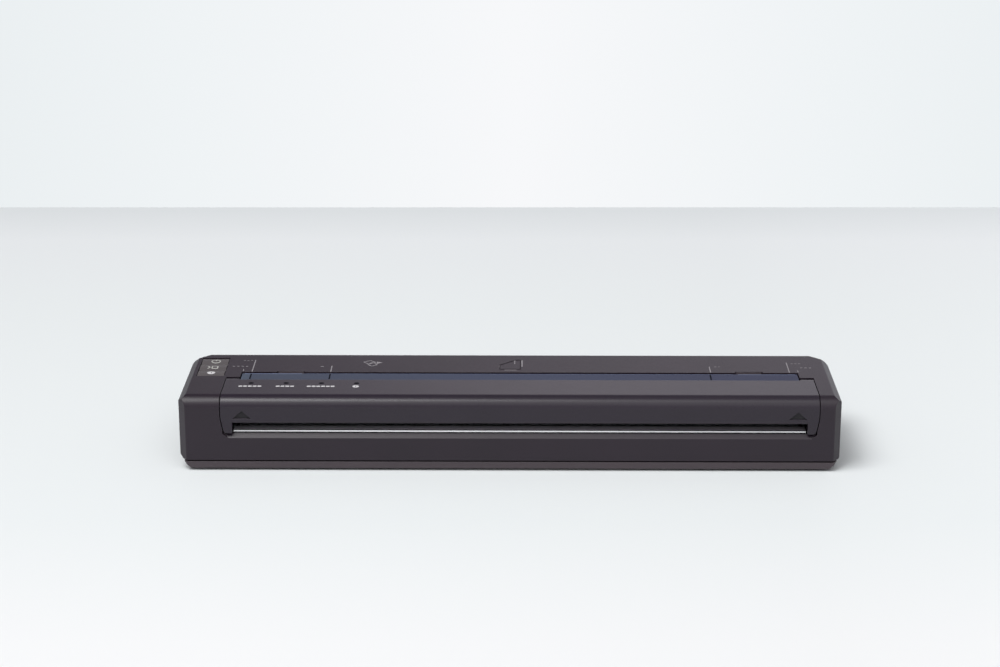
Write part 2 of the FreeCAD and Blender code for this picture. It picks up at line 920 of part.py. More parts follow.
def meeting_point(first, first_radius, second, second_radius):
    """The lower of the two points that lie at given distances from two centres."""
    along_y = second[0] - first[0]
    along_z = second[1] - first[1]
    apart = math.hypot(along_y, along_z)
    reach = (apart ** 2 + first_radius ** 2 - second_radius ** 2) / (2 * apart)
    lift = math.sqrt(first_radius ** 2 - reach ** 2)
    middle_y = first[0] + along_y * reach / apart
    middle_z = first[1] + along_z * reach / apart
    off_y = along_z * lift / apart
    off_z = along_y * lift / apart
    choices = [(middle_y - side * off_y, middle_z + side * off_z) for side in (-1, 1)]
    return min(choices, key=lambda place: place[1])


def idler_place():
    """Where the idler sits, in mesh with the platen gear and the compound gear."""
    to_platen = gear_module * (platen_teeth + idler_teeth) / 2
    to_compound = gear_module * (compound_small_teeth + idler_teeth) / 2
    return meeting_point((platen_y, platen_z), to_platen, (compound_y, compound_z), to_compound)


def gear_axle_places():
    """Places of the two fixed gear axles."""
    return [idler_place(), (compound_y, compound_z)]


def mesh_phase(first, first_teeth, first_phase, second, second_teeth):
    """Angle of a tooth of the second gear, so that it meshes with the first."""
    line = math.atan2(second[1] - first[1], second[0] - first[0])
    return line + math.pi + math.pi / second_teeth + (line - first_phase) * first_teeth / second_teeth


def gear(teeth, x_span, centre, phase, bore):
    """A spur gear across the X span, with straight-sided teeth and a bore."""
    pitch_radius = gear_module * teeth / 2
    step = 2 * math.pi / teeth
    rim = [
        (pitch_radius - dedendum, -tooth_root_share),
        (pitch_radius, -tooth_pitch_share),
        (pitch_radius + addendum, -tooth_tip_share),
        (pitch_radius + addendum, tooth_tip_share),
        (pitch_radius, tooth_pitch_share),
        (pitch_radius - dedendum, tooth_root_share),
    ]
    corners = []
    for tooth in range(teeth):
        for radius, share in rim:
            angle = phase + step * (tooth + share)
            corners.append((centre[0] + radius * math.cos(angle), centre[1] + radius * math.sin(angle), 0))
    return without(prism_x(corners, x_span), rod_x(x_span, centre[0], centre[1], bore))


def make_gears():
    """The gear train from the platen back to the motor pinion, in mesh at rest."""
    platen = (platen_y, platen_z)
    idler = idler_place()
    compound = (compound_y, compound_z)
    motor = (motor_y, motor_z)
    inner_span = (gear_in_end, gear_in_start)
    outer_span = (gear_out_end, gear_out_start)
    idler_phase = mesh_phase(platen, platen_teeth, 0, idler, idler_teeth)
    small_phase = mesh_phase(idler, idler_teeth, idler_phase, compound, compound_small_teeth)
    pinion_phase = mesh_phase(compound, compound_large_teeth, small_phase, motor, pinion_teeth)
    loose_bore = gear_axle_radius + running_gap
    small = gear(compound_small_teeth, (gear_out_start, gear_in_start), compound, small_phase, loose_bore)
    large = gear(compound_large_teeth, outer_span, compound, small_phase, loose_bore)
    return {
        "platen_gear": gear(platen_teeth, inner_span, platen, 0, platen_shaft_radius),
        "idler_gear": gear(idler_teeth, inner_span, idler, idler_phase, loose_bore),
        "compound_gear": joined(large, small),
        "motor_pinion": gear(pinion_teeth, outer_span, motor, pinion_phase, motor_shaft_radius),
    }


def make_gear_axles():
    """Two steel axles riveted into the left plate."""
    idler, compound = gear_axle_places()
    return [
        rod_x((gear_in_end, left_plate_inner), idler[0], idler[1], gear_axle_radius),
        rod_x((gear_out_end, left_plate_inner), compound[0], compound[1], gear_axle_radius),
    ]


def make_platen_bushes():
    """Flanged bushes in the two side plates."""
    bushes = []
    for inner, outer, out in (
        (left_plate_inner, left_plate_outer, -1), (right_plate_inner, right_plate_outer, 1),
    ):
        sleeve = rod_x(sorted((inner, outer)), platen_y, platen_z, bush_radius)
        rim_span = sorted((outer, outer + out * bush_flange))
        rim = rod_x(rim_span, platen_y, platen_z, bush_flange_radius)
        hole_span = sorted((inner, outer + out * bush_flange))
        hole = rod_x(hole_span, platen_y, platen_z, platen_shaft_radius + running_gap)
        bushes.append(without(joined(sleeve, rim), hole))
    return bushes


def make_platen():
    """Steel shaft and rubber sleeve of the platen, with a clip at the far end."""
    far_end = right_plate_outer + bush_flange + shaft_end
    near_end = gear_in_end - shaft_end / 2
    clip_start = right_plate_outer + bush_flange + running_gap
    shaft = joined(
        rod_x((near_end, far_end), platen_y, platen_z, platen_shaft_radius),
        rod_x((rubber_left, rubber_right), platen_y, platen_z, platen_core),
    )
    rubber = without(
        rod_x((rubber_left, rubber_right), platen_y, platen_z, platen_radius),
        rod_x((rubber_left, rubber_right), platen_y, platen_z, platen_core),
    )
    clip = without(
        rod_x((clip_start, clip_start + clip_thickness), platen_y, platen_z, clip_radius),
        rod_x((clip_start, clip_start + clip_thickness), platen_y, platen_z, platen_shaft_radius),
    )
    return shaft, rubber, clip


def make_motor():
    """Stepper motor: can, square flange and the boss in the plate."""
    flange_end = left_plate_inner + motor_flange_thickness
    half = motor_flange / 2
    corners = [
        (motor_y - half, motor_z - half, edge_round), (motor_y + half, motor_z - half, edge_round),
        (motor_y + half, motor_z + half, edge_round), (motor_y - half, motor_z + half, edge_round),
    ]
    flange = prism_x(corners, (left_plate_inner, flange_end))
    can = rod_x((flange_end, flange_end + motor_length), motor_y, motor_z, motor_radius)
    boss = rod_x((left_plate_outer, left_plate_inner), motor_y, motor_z, motor_boss_radius)
    can_inner_end = flange_end + motor_length - wall
    bore = rod_x((left_plate_outer, can_inner_end), motor_y, motor_z, motor_shaft_radius + running_gap)
    rotor_space = rod_x(
        (flange_end + wall, can_inner_end), motor_y, motor_z, rotor_radius + loose_gap
    )
    holes = [
        rod_x((left_plate_inner, flange_end), y, z, motor_screw_radius) for y, z in motor_screw_places()
    ]
    return without(joined(flange, can, boss), bore, rotor_space, *holes)


def make_motor_rotor():
    """Magnet rotor on its shaft inside the motor."""
    flange_end = left_plate_inner + motor_flange_thickness
    shaft = rod_x(
        (gear_out_end, flange_end + motor_length - wall - loose_gap), motor_y, motor_z, motor_shaft_radius
    )
    magnet = rod_x(
        (flange_end + wall + loose_gap, flange_end + motor_length - wall - loose_gap),
        motor_y, motor_z, rotor_radius,
    )
    return joined(shaft, magnet)


def make_motor_screws():
    """Four screws from outside the plate into the motor flange."""
    shank_span = (left_plate_outer, left_plate_inner + motor_flange_thickness)
    head_span = (left_plate_outer - motor_screw_radius, left_plate_outer)
    screws = []
    for y, z in motor_screw_places():
        shank = rod_x(shank_span, y, z, motor_screw_radius)
        head = rod_x(head_span, y, z, motor_screw_head)
        screws.append(joined(head, shank))
    return screws


def make_hinge_pins():
    """Headed pins through the side plates into the cover's ears."""
    pins = []
    for inner, outer, out in (
        (left_plate_inner, left_plate_outer, -1), (right_plate_inner, right_plate_outer, 1),
    ):
        shank_span = sorted((inner - out * (hinge_pin_reach + plate_gap), outer))
        shank = rod_x(shank_span, hinge_y, hinge_z, hinge_pin_radius)
        head = rod_x(sorted((outer, outer + out * hinge_pin_head)), hinge_y, hinge_z, hinge_pin_head_radius)
        pins.append(joined(shank, head))
    return pins


def make_release_lobe(x_span):
    """A finger under the ear that pushes the print head down as the cover opens."""
    lean = math.radians(lobe_lean_degrees)
    tip = lobe_reach - lobe_width / 2
    tip_y = hinge_y + tip * math.sin(lean)
    tip_z = hinge_z - tip * math.cos(lean)
    across_y = lobe_width / 2 * math.cos(lean)
    across_z = lobe_width / 2 * math.sin(lean)
    arm = prism_x(
        [
            (hinge_y - across_y, hinge_z - across_z, 0),
            (tip_y - across_y, tip_z - across_z, 0),
            (tip_y + across_y, tip_z + across_z, 0),
            (hinge_y + across_y, hinge_z + across_z, 0),
        ],
        x_span,
    )
    return arm.fuse(rod_x(x_span, tip_y, tip_z, lobe_width / 2))


def make_release_cover():
    """The hinged cover: skin, front wall, cheeks, ears, ribs and release lobes."""
    around = block(
        (cover_left, cover_right), (-half_depth - overrun, hinge_y), (slot_top, body_height + overrun)
    )
    skin = without(hull(0), hull(wall)).common(around).common(cover_opening(0))
    cheek_rear = -half_depth + cheek_depth
    cheek_outline = [
        (cover_left + cheek_lean, lip_height + cheek_gap, cheek_round),
        (slot_left, lip_height + cheek_gap, 0),
        (slot_left, inner_top + wall / 2, 0),
        (cover_left, inner_top + wall / 2, 0),
        (cover_left, lip_height + lean_height, lean_round),
    ]
    far_outline = [
        (slot_right, lip_height + cheek_gap, 0),
        (cover_right - cheek_lean, lip_height + cheek_gap, cheek_round),
        (cover_right, lip_height + lean_height, lean_round),
        (cover_right, inner_top + wall / 2, 0),
        (slot_right, inner_top + wall / 2, 0),
    ]
    solid_hull = hull(0)
    pieces = []
    for outline in (cheek_outline, far_outline):
        pieces.append(prism_y(outline, (-half_depth, cheek_rear)).common(solid_hull))
    for edge, side in ((cover_left, 1), (cover_right, -1)):
        wall_span = sorted((edge, edge + side * wall))
        side_wall = block(wall_span, (-half_depth, hinge_y), (side_wall_bottom, inner_top + wall / 2))
        pieces.append(side_wall.common(solid_hull))
        ear = rod_x(sorted((edge, edge + side * ear_width)), hinge_y, hinge_z, ear_radius)
        lobe_start = edge + side * lobe_end_inset
        lobe = make_release_lobe(sorted((lobe_start, lobe_start + side * lobe_length)))
        pieces.extend((ear, lobe))
    pieces.append(
        block((ear_left + strip_end_gap * 2, ear_right - strip_end_gap * 2), (shelf_front, shelf_rear),
              (inner_top - shelf_thickness, inner_top))
    )
    rib_step = (slot_right - slot_left) / (rib_count + 1)
    for index in range(rib_count):
        rib_x = slot_left + rib_step * (index + 1)
        rib = block(
            (rib_x - rib_thickness / 2, rib_x + rib_thickness / 2), (-half_depth, rib_rear),
            (rib_bottom, inner_top + wall / 2),
        )
        pieces.append(without(rib.common(solid_hull), led_board_space()))
    post_y = (led_board_front + led_board_rear) / 2
    post_span = (led_board_bottom() + led_board_thickness, inner_top + wall / 2)
    for x in led_board_post_places():
        pieces.append(rod_z(x, post_y, post_span, post_radius))
    pin_span = hinge_pin_reach + fit_gap
    tools = [
        rod_x((cover_left, cover_left + pin_span), hinge_y, hinge_z, hinge_pin_radius + running_gap),
        rod_x((cover_right - pin_span, cover_right), hinge_y, hinge_z, hinge_pin_radius + running_gap),
    ]
    for x in led_places():
        tools.append(rod_z(x, led_y, (inner_top - overrun, body_height + overrun), led_radius))
    for middle in (cover_left + triangle_end_inset, cover_right - triangle_end_inset):
        corners = [
            (middle - triangle_width / 2, triangle_bottom, 0),
            (middle + triangle_width / 2, triangle_bottom, 0),
            (middle, triangle_bottom + triangle_height, 0),
        ]
        tools.append(prism_y(corners, (-half_depth - overrun, -half_depth + triangle_depth)))
    tools.append(
        block((ear_left + strip_end_gap, ear_right - strip_end_gap), (strip_front, hinge_y + ear_radius),
              (inner_top, body_height + overrun))
    )
    return without(joined(skin, *pieces), *tools)


def make_feed_strip():
    """The moulded strip along the cover's rear edge, which forms one side of the feed slot."""
    span = (ear_left + strip_end_gap, ear_right - strip_end_gap)
    section = [
        (strip_front, inner_top, 0),
        (strip_rear - strip_skirt_thickness, inner_top, 0),
        (strip_rear - strip_skirt_thickness, inner_top - strip_skirt, 0),
        (strip_rear, inner_top - strip_skirt, edge_round / 2),
        (strip_rear, body_height, edge_round / 2),
        (strip_front, body_height, 0),
    ]
    return prism_x(section, span)


def led_places():
    """Places of the indicator lenses along X."""
    return [led_left + led_pitch * index for index in range(led_count)]


def led_board_bottom():
    """Height of the indicator board's underside, a chip under the light bars."""
    return inner_top - light_bar_thickness - led_chip_size / 2 - led_board_thickness


def led_board_space():
    """The space that the indicator board needs, with a little room round it."""
    last = led_left + led_pitch * (led_count - 1)
    return block(
        (led_left - led_board_margin - loose_gap, last + led_board_margin + loose_gap),
        (led_board_front - loose_gap, led_y),
        (led_board_bottom() - loose_gap, inner_top),
    )


def led_board_post_places():
    """Places along X of the two posts that carry the indicator board."""
    return [led_left - led_board_margin / 2, led_left + led_pitch * (led_count - 1) + led_board_margin / 2]


def make_led_lenses():
    """Light bars that end in small round lenses in the cover's skin."""
    lenses = []
    for x in led_places():
        lens = rod_z(x, led_y, (inner_top, body_height), led_radius)
        bar = block(
            (x - light_bar_width / 2, x + light_bar_width / 2),
            (led_board_rear - led_chip_size, led_y + light_bar_width / 2),
            (inner_top - light_bar_thickness, inner_top),
        )
        lenses.append(joined(bar, lens))
    return lenses


def make_led_board():
    """The small board with one chip under each light bar."""
    bottom = led_board_bottom()
    top = bottom + led_board_thickness
    last = led_left + led_pitch * (led_count - 1)
    board = block(
        (led_left - led_board_margin, last + led_board_margin),
        (led_board_front, led_board_rear),
        (bottom, top),
    )
    half_chip = led_chip_size / 2
    chips = [
        block((x - half_chip, x + half_chip), (led_board_rear - led_chip_size, led_board_rear),
              (top, top + half_chip))
        for x in led_places()
    ]
    return [board] + chips


def make_tear_bar():
    """The steel bar along the exit, with a bevel along its upper front edge."""
    top = tear_bar_bottom + tear_bar_thickness
    section = [
        (tear_bar_front, tear_bar_bottom, 0),
        (tear_bar_rear, tear_bar_bottom, 0),
        (tear_bar_rear, top, 0),
        (tear_bar_front + tear_bar_edge, top, 0),
        (tear_bar_front, top - tear_bar_edge, 0),
    ]
    return prism_x(section, (slot_left + tear_bar_end_gap, slot_right - tear_bar_end_gap))


def make_exit_guide():
    """The moulded guide under the exit, which carries the tear bar."""
    span = (slot_left + tear_bar_end_gap, slot_right - tear_bar_end_gap)
    deck_span = (tear_bar_bottom - exit_guide_thickness, tear_bar_bottom)
    deck = block(span, (exit_guide_front, exit_guide_rear), deck_span)
    leg_front = frame_front + plate_thickness
    leg = block(span, (leg_front, leg_front + exit_guide_leg), (frame_top, tear_bar_bottom))
    window = rod_z(sensor_x, sensor_y(), (0, body_height), sensor_lens_radius + fit_gap)
    head_room = (frame_top, frame_top + frame_screw_head_height + loose_gap)
    feet_clear = [
        rod_z(x, y, head_room, frame_screw_head + loose_gap) for x, y in frame_screw_places()
    ]
    plate_feet = []
    for inner, side in ((left_plate_inner, 1), (right_plate_inner, -1)):
        reach = sorted((inner, inner + side * (plate_foot_length + loose_gap)))
        foot_span = (plate_front - loose_gap, plate_front + plate_foot_depth + loose_gap)
        plate_feet.append(block(reach, foot_span, (frame_top, frame_top + plate_thickness + loose_gap)))
    return without(joined(deck, leg), window, *feet_clear, *plate_feet)


def sensor_y():
    """Depth of the paper sensor's middle, behind the exit guide's leg."""
    return exit_guide_rear - sensor_depth / 2 - fit_gap


def make_paper_sensor():
    """Reflective sensor under the exit guide, with its lens in the guide's window."""
    top = tear_bar_bottom - exit_guide_thickness
    y = sensor_y()
    body = block(
        (sensor_x - sensor_width / 2, sensor_x + sensor_width / 2),
        (y - sensor_depth / 2, y + sensor_depth / 2),
        (top - sensor_height, top),
    )
    return joined(body, rod_z(sensor_x, y, (top, tear_bar_bottom - fit_gap), sensor_lens_radius))


def make_feed_guide():
    """The curved guide that turns the sheet from the feed slot to the print line."""
    outer = guide_radius + guide_thickness
    span = (left_plate_inner, right_plate_inner)
    ring = without(rod_x(span, hinge_y, hinge_z, outer), rod_x(span, hinge_y, hinge_z, guide_radius))
    quarter = block(span, (hinge_y, hinge_y + outer), (hinge_z - outer, hinge_z))
    return ring.common(quarter)


def make_cover_switch():
    """Switch that senses the closed cover, on the right plate."""
    body = block(
        (right_plate_inner - switch_box_width, right_plate_inner),
        (switch_box_front, switch_box_front + switch_box_depth),
        (switch_box_top - switch_box_height, switch_box_top),
    )
    return body


def make_head_parts():
    """The print head: heat sink, ceramic heater strip, driver board and bracket."""
    span = (rubber_left, rubber_right)
    sink_section = [
        (sink_front, sink_bottom, 0),
        (sink_rear, sink_bottom, 0),
        (sink_rear, sink_step_height, 0),
        (sink_step, sink_step_height, 0),
        (sink_step, sink_top, 0),
        (sink_front, sink_top, 0),
    ]
    sink = prism_x(sink_section, span)
    heater_line = (ceramic_front, ceramic_rear)
    ceramic = joined(
        block(span, heater_line, (sink_top, ceramic_top)),
        block(span, (platen_y - ridge_width / 2, platen_y + ridge_width / 2), (ceramic_top, heater_top)),
    )
    board_face = sink_step_height + driver_board_thickness
    board = block(span, (sink_step, sink_rear), (sink_step_height, board_face))
    cover = block(
        (rubber_left + wall, rubber_right - wall),
        (driver_cover_front, driver_cover_front + driver_cover_width),
        (board_face, board_face + driver_cover_height),
    )
    return sink, ceramic, [board, cover]


def make_head_bracket():
    """The pivoting steel bracket under the heat sink, with an arm and a release tab at each end."""
    left = rubber_left - bracket_arm_gap
    right = rubber_right + bracket_arm_gap
    plate = block((left, right), (sink_front, sink_rear), (sink_bottom - bracket_thickness, sink_bottom))
    pieces = []
    for edge, side in ((left, 1), (right, -1)):
        span = sorted((edge, edge + side * bracket_thickness))
        low = sink_bottom - bracket_thickness
        pieces.append(block(span, (sink_front, pivot_y), (low, arm_top)))
        pieces.append(rod_x(span, pivot_y, pivot_z, pivot_eye_radius))
        pieces.append(block(span, (platen_y, tab_rear), (low, tab_top)))
    hole = rod_x((left, right), pivot_y, pivot_z, pivot_radius + running_gap)
    return without(joined(plate, *pieces), hole)


def make_head_springs():
    """Coil springs that press the head up against the platen."""
    low = frame_top
    high = sink_bottom - bracket_thickness
    coil_radius = spring_radius - spring_wire / 2
    lift = high - low - spring_wire

    def place(turns):
        angle = 2 * math.pi * turns
        height = lift * turns / spring_turns
        return FreeCAD.Vector(coil_radius * math.cos(angle), coil_radius * math.sin(angle), height)

    steps = int(spring_turns * 4)
    arcs = []
    for step in range(steps):
        start = spring_turns * step / steps
        end = spring_turns * (step + 1) / steps
        arcs.append(Part.Arc(place(start), place((start + end) / 2), place(end)).toShape())
    along = place(fit_gap / spring_turns) - place(0)
    quarter = 90
    ring = Part.Wire([
        Part.makeCircle(spring_wire / 2, place(0), along, quarter * index, quarter * (index + 1))
        for index in range(4)
    ])
    coil = Part.Wire(arcs).makePipeShell([ring], True, False)
    springs = []
    for x in spring_places():
        one = coil.copy()
        one.translate(FreeCAD.Vector(x, platen_y, low + spring_wire / 2))
        springs.append(one)
    return springs


def make_head_cable():
    """Flat cable from the head's driver board over the pivot and down into the main board's plug."""
    left = head_plug_left() + (head_plug_width - head_cable_width) / 2
    x_span = (left, left + head_cable_width)
    top = sink_step_height + driver_board_thickness
    low = board_top + head_cable_height
    section = [
        (sink_rear - overrun, top, 0),
        (head_cable_bend - head_cable_thickness, top, fit_gap),
        (head_cable_bend - head_cable_thickness, low, head_cable_thickness + fit_gap),
        (head_cable_end, low, 0),
        (head_cable_end, low + head_cable_thickness, 0),
        (head_cable_bend, low + head_cable_thickness, fit_gap),
        (head_cable_bend, top + head_cable_thickness, head_cable_thickness + fit_gap),
        (sink_rear - overrun, top + head_cable_thickness, 0),
    ]
    return prism_x(section, x_span)


def head_plug_left():
    """Left end of the head cable's plug."""
    return board_left + head_plug_width


def board_corner_places():
    """Places of the main board's four screws."""
    return [
        (x, y)
        for x in (board_left + standoff_inset, board_right - standoff_inset)
        for y in (board_front + standoff_inset, board_rear - standoff_inset)
    ]


def make_main_board():
    """The main circuit board with its screw holes."""
    board = block((board_left, board_right), (board_front, board_rear), (board_bottom, board_top))
    hole_radius = board_screw_radius + fit_gap
    holes = [rod_z(x, y, (board_bottom, board_top), hole_radius) for x, y in board_corner_places()]
    return without(board, *holes)


def make_board_standoffs():
    """Steel spacers pressed into the base frame under the main board."""
    return [
        without(rod_z(x, y, (frame_top, board_bottom), standoff_radius),
                rod_z(x, y, (frame_top + fit_gap, board_bottom), board_screw_radius))
        for x, y in board_corner_places()
    ]


def make_board_screws():
    """Screws that hold the main board on its spacers."""
    tip = frame_top + loose_gap
    return [
        screw(x, y, board_top, tip, board_screw_radius, board_screw_head, board_screw_head_height)
        for x, y in board_corner_places()
    ]


def make_board_parts():
    """Chips, capacitors and the head plug on the main board."""
    middle_y = (board_front + board_rear) / 2
    chip_span = (middle_y - chip_size / 2 + head_plug_depth / 2, middle_y + chip_size / 2)
    left = board_left + head_plug_width
    solids = []
    for index in range(2):
        x = left + (chip_size + overrun) * index
        solids.append(block((x, x + chip_size), chip_span, (board_top, board_top + chip_height)))
    step = capacitor_radius * 2 + overrun / 2
    can_span = (board_top, board_top + capacitor_height)
    for index in range(2):
        x = module_left - step * (index + 1) + capacitor_radius
        solids.append(rod_z(x, middle_y + capacitor_radius / 2, can_span, capacitor_radius))
    plug_left = head_plug_left()
    plug_right = plug_left + head_plug_width
    plug = block(
        (plug_left, plug_right),
        (board_front, board_front + head_plug_depth),
        (board_top, board_top + head_plug_height),
    )
    slot_margin = (head_plug_width - head_cable_width) / 2 - loose_gap
    slot_low = board_top + head_cable_height - loose_gap
    slot = block(
        (plug_left + slot_margin, plug_right - slot_margin),
        (board_front, head_cable_end + loose_gap),
        (slot_low, slot_low + head_plug_slot),
    )
    solids.append(without(plug, slot))
    return solids


def make_wireless_module():
    """Shielded wireless module on the main board."""
    middle_y = (board_front + board_rear) / 2
    half = module_size / 2 - overrun
    return block(
        (module_left, module_left + module_size),
        (middle_y - half, middle_y + half),
        (board_top, board_top + module_height),
    )


def rounded_bar(x, y_span, z, width, height):
    """A bar along Y with a flat oval section."""
    corner = height / 2 - fit_gap
    corners = [
        (x - width / 2, z - height / 2, corner),
        (x + width / 2, z - height / 2, corner),
        (x + width / 2, z + height / 2, corner),
        (x - width / 2, z + height / 2, corner),
    ]
    return prism_y(corners, y_span)


def make_socket():
    """The charging and data socket: a steel shell with its tongue."""
    rear = half_depth - wall / 2
    span = (rear - socket_length, rear)
    z = board_top + socket_height / 2
    shell = without(
        rounded_bar(socket_x, span, z, socket_width, socket_height),
        rounded_bar(socket_x, (span[0] + socket_wall * 2, rear + overrun), z, socket_width - socket_wall * 2,
                    socket_height - socket_wall * 2),
    )
    tongue = block(
        (socket_x - socket_tongue, socket_x + socket_tongue),
        (span[0] + socket_wall, rear - socket_wall * 3),
        (z - socket_wall, z + socket_wall),
    )
    return joined(shell, tongue)


def key_middle(index):
    """Middle of a key along Y, counted from the front."""
    return key_panel_front + key_pitch * (index + 1 / 2)


def make_key(index):
    """One wide key with a crowned top, end tabs under the skin and a stem."""
    y = key_middle(index)
    half = key_pitch / 2 - key_gap / 2
    left = key_panel_left + key_gap
    right = key_panel_left + key_length - key_gap
    edge_height = body_height - key_crown
    radius = (half ** 2 + key_crown ** 2) / (2 * key_crown)
    upright = block((left, right), (y - half, y + half), (key_bottom, body_height))
    crown = rod_x((left, right), y, body_height - radius, radius)
    below = block((left, right), (y - half, y + half), (key_bottom, edge_height))
    cap = joined(upright.common(crown), below)
    softened = key_edge_softening(cap, left, right, y, half)
    x = (left + right) / 2
    stem = rod_z(x, y, (key_bottom - key_stem, key_bottom), key_stem_radius)
    tabs = []
    for edge, side in ((left, -1), (right, 1)):
        reach = sorted((edge - side * key_tab, edge + side * key_tab))
        tab_half = half - key_tab
        tabs.append(block(reach, (y - tab_half, y + tab_half), (key_bottom - key_tab_thickness, key_bottom)))
    return joined(softened, stem, *tabs)


def key_edge_softening(cap, left, right, y, half):
    """The key's cap with its two ends sloped a little at the top."""
    slope = [
        (left, body_height - key_crown - key_edge, 0),
        (left + key_edge, body_height + overrun, 0),
        (right - key_edge, body_height + overrun, 0),
        (right, body_height - key_crown - key_edge, 0),
        (right, key_bottom, 0),
        (left, key_bottom, 0),
    ]
    return cap.common(prism_y(slope, (y - half, y + half)))


def key_x():
    """Middle of the keys along X."""
    return key_panel_left + key_length / 2


def make_plunger(index):
    """The moving button of one switch, under its key's stem."""
    top = key_bottom - key_stem
    return rod_z(key_x(), key_middle(index), (top - plunger_height, top), plunger_radius)


def make_key_switches():
    """Three switch bodies on the key board, each with the bore of its plunger."""
    bodies = []
    for index in range(len(key_names)):
        y = key_middle(index)
        top = key_board_top + switch_height
        half = switch_size / 2
        base = block((key_x() - half, key_x() + half), (y - half, y + half), (key_board_top, top))
        bore = rod_z(key_x(), y, (key_board_top + fit_gap, top), plunger_radius + running_gap)
        bodies.append(without(base, bore))
    return bodies


def key_board_screw_places():
    """Places of the two screws that hold the key board on the plate's tabs."""
    x = left_plate_outer - key_board_screw_inset
    return [(x, (span[0] + span[1]) / 2) for span in board_tab_spans()]


def make_key_board():
    """The small board under the keys."""
    front, rear = key_board_span()
    sheet_span = (key_board_bottom(), key_board_top)
    board = block((key_panel_left + fit_gap, left_plate_outer), (front, rear), sheet_span)
    hole_radius = key_board_screw_radius + fit_gap
    holes = [rod_z(x, y, sheet_span, hole_radius) for x, y in key_board_screw_places()]
    return without(board, *holes)


def make_key_board_screws():
    """Two short screws through the key board."""
    tip = key_board_bottom() - board_tab_thickness
    return [
        screw(x, y, key_board_top, tip, key_board_screw_radius, frame_screw_radius,
              frame_screw_head_height / 2)
        for x, y in key_board_screw_places()
    ]


def make_battery_pack():
    """The rechargeable pack, with rounded long edges."""
    corners = [
        (battery_front, battery_bottom, edge_round),
        (battery_rear, battery_bottom, edge_round),
        (battery_rear, battery_top, battery_round),
        (battery_front, battery_top, battery_round),
    ]
    return prism_x(corners, (battery_left, battery_right))


def make_battery_tray():
    """The moulded tray that the pack slides into from the rear."""
    tray_front = battery_front - tray_wall - loose_gap
    tray_span = (tray_front, frame_rear)
    walls_span = (frame_top, battery_top)
    floor = block((door_left, door_right), tray_span, (battery_bottom - tray_wall * 2, battery_bottom))
    front = block((door_left, door_right), (tray_front, battery_front - loose_gap), walls_span)
    ends = [
        block((door_left, battery_left - loose_gap), tray_span, walls_span),
        block((battery_right + loose_gap, door_right), tray_span, walls_span),
    ]
    slots = [
        block((door_left, battery_left), (y - contact_width / 2 - fit_gap, y + contact_width / 2 + fit_gap),
              (contact_low(), contact_high()))
        for y in contact_places()
    ]
    return without(joined(floor, front, *ends), *slots)


def contact_places():
    """Places of the battery contacts along Y."""
    middle = (battery_front + battery_rear) / 2
    return [middle + contact_pitch * (index - (contact_count - 1) / 2) for index in range(contact_count)]


def contact_low():
    """Lower end of the battery contacts."""
    return battery_bottom + contact_margin


def contact_high():
    """Upper end of the battery contacts."""
    return battery_top - contact_margin


def make_battery_contacts():
    """Spring contacts in the tray's end wall."""
    low = contact_low()
    contacts = []
    for y in contact_places():
        strip_span = (y - contact_width / 2, y + contact_width / 2)
        tail = block((door_left, battery_left), strip_span, (low, low + contact_thickness * 2))
        blade = block((battery_left - contact_thickness, battery_left), strip_span, (low, contact_high()))
        contacts.append(joined(tail, blade))
    return contacts


def make_battery_door():
    """The rear door, hinged along its lower edge on two moulded pins."""
    section = [
        (half_depth - wall, door_bottom, wall / 2 - fit_gap / 2),
        (half_depth, door_bottom, wall / 2 - fit_gap / 2),
        (half_depth, door_top, edge_round / 2),
        (half_depth - wall, door_top, 0),
    ]
    panel = prism_x(section, (door_left, door_right))
    pin_span = (door_left - door_pin_length, door_right + door_pin_length)
    pins = rod_x(pin_span, door_axis_y, door_axis_z, door_pin_radius)
    middle = (door_left + door_right) / 2
    grip = [
        (middle - door_grip_width / 2, door_top - door_grip_height * 2, edge_round),
        (middle + door_grip_width / 2, door_top - door_grip_height * 2, edge_round),
        (middle + door_grip_width / 2, door_top - door_grip_height, edge_round),
        (middle - door_grip_width / 2, door_top - door_grip_height, edge_round),
    ]
    return without(joined(panel, pins), prism_y(grip, (half_depth - door_grip_depth, half_depth + overrun)))


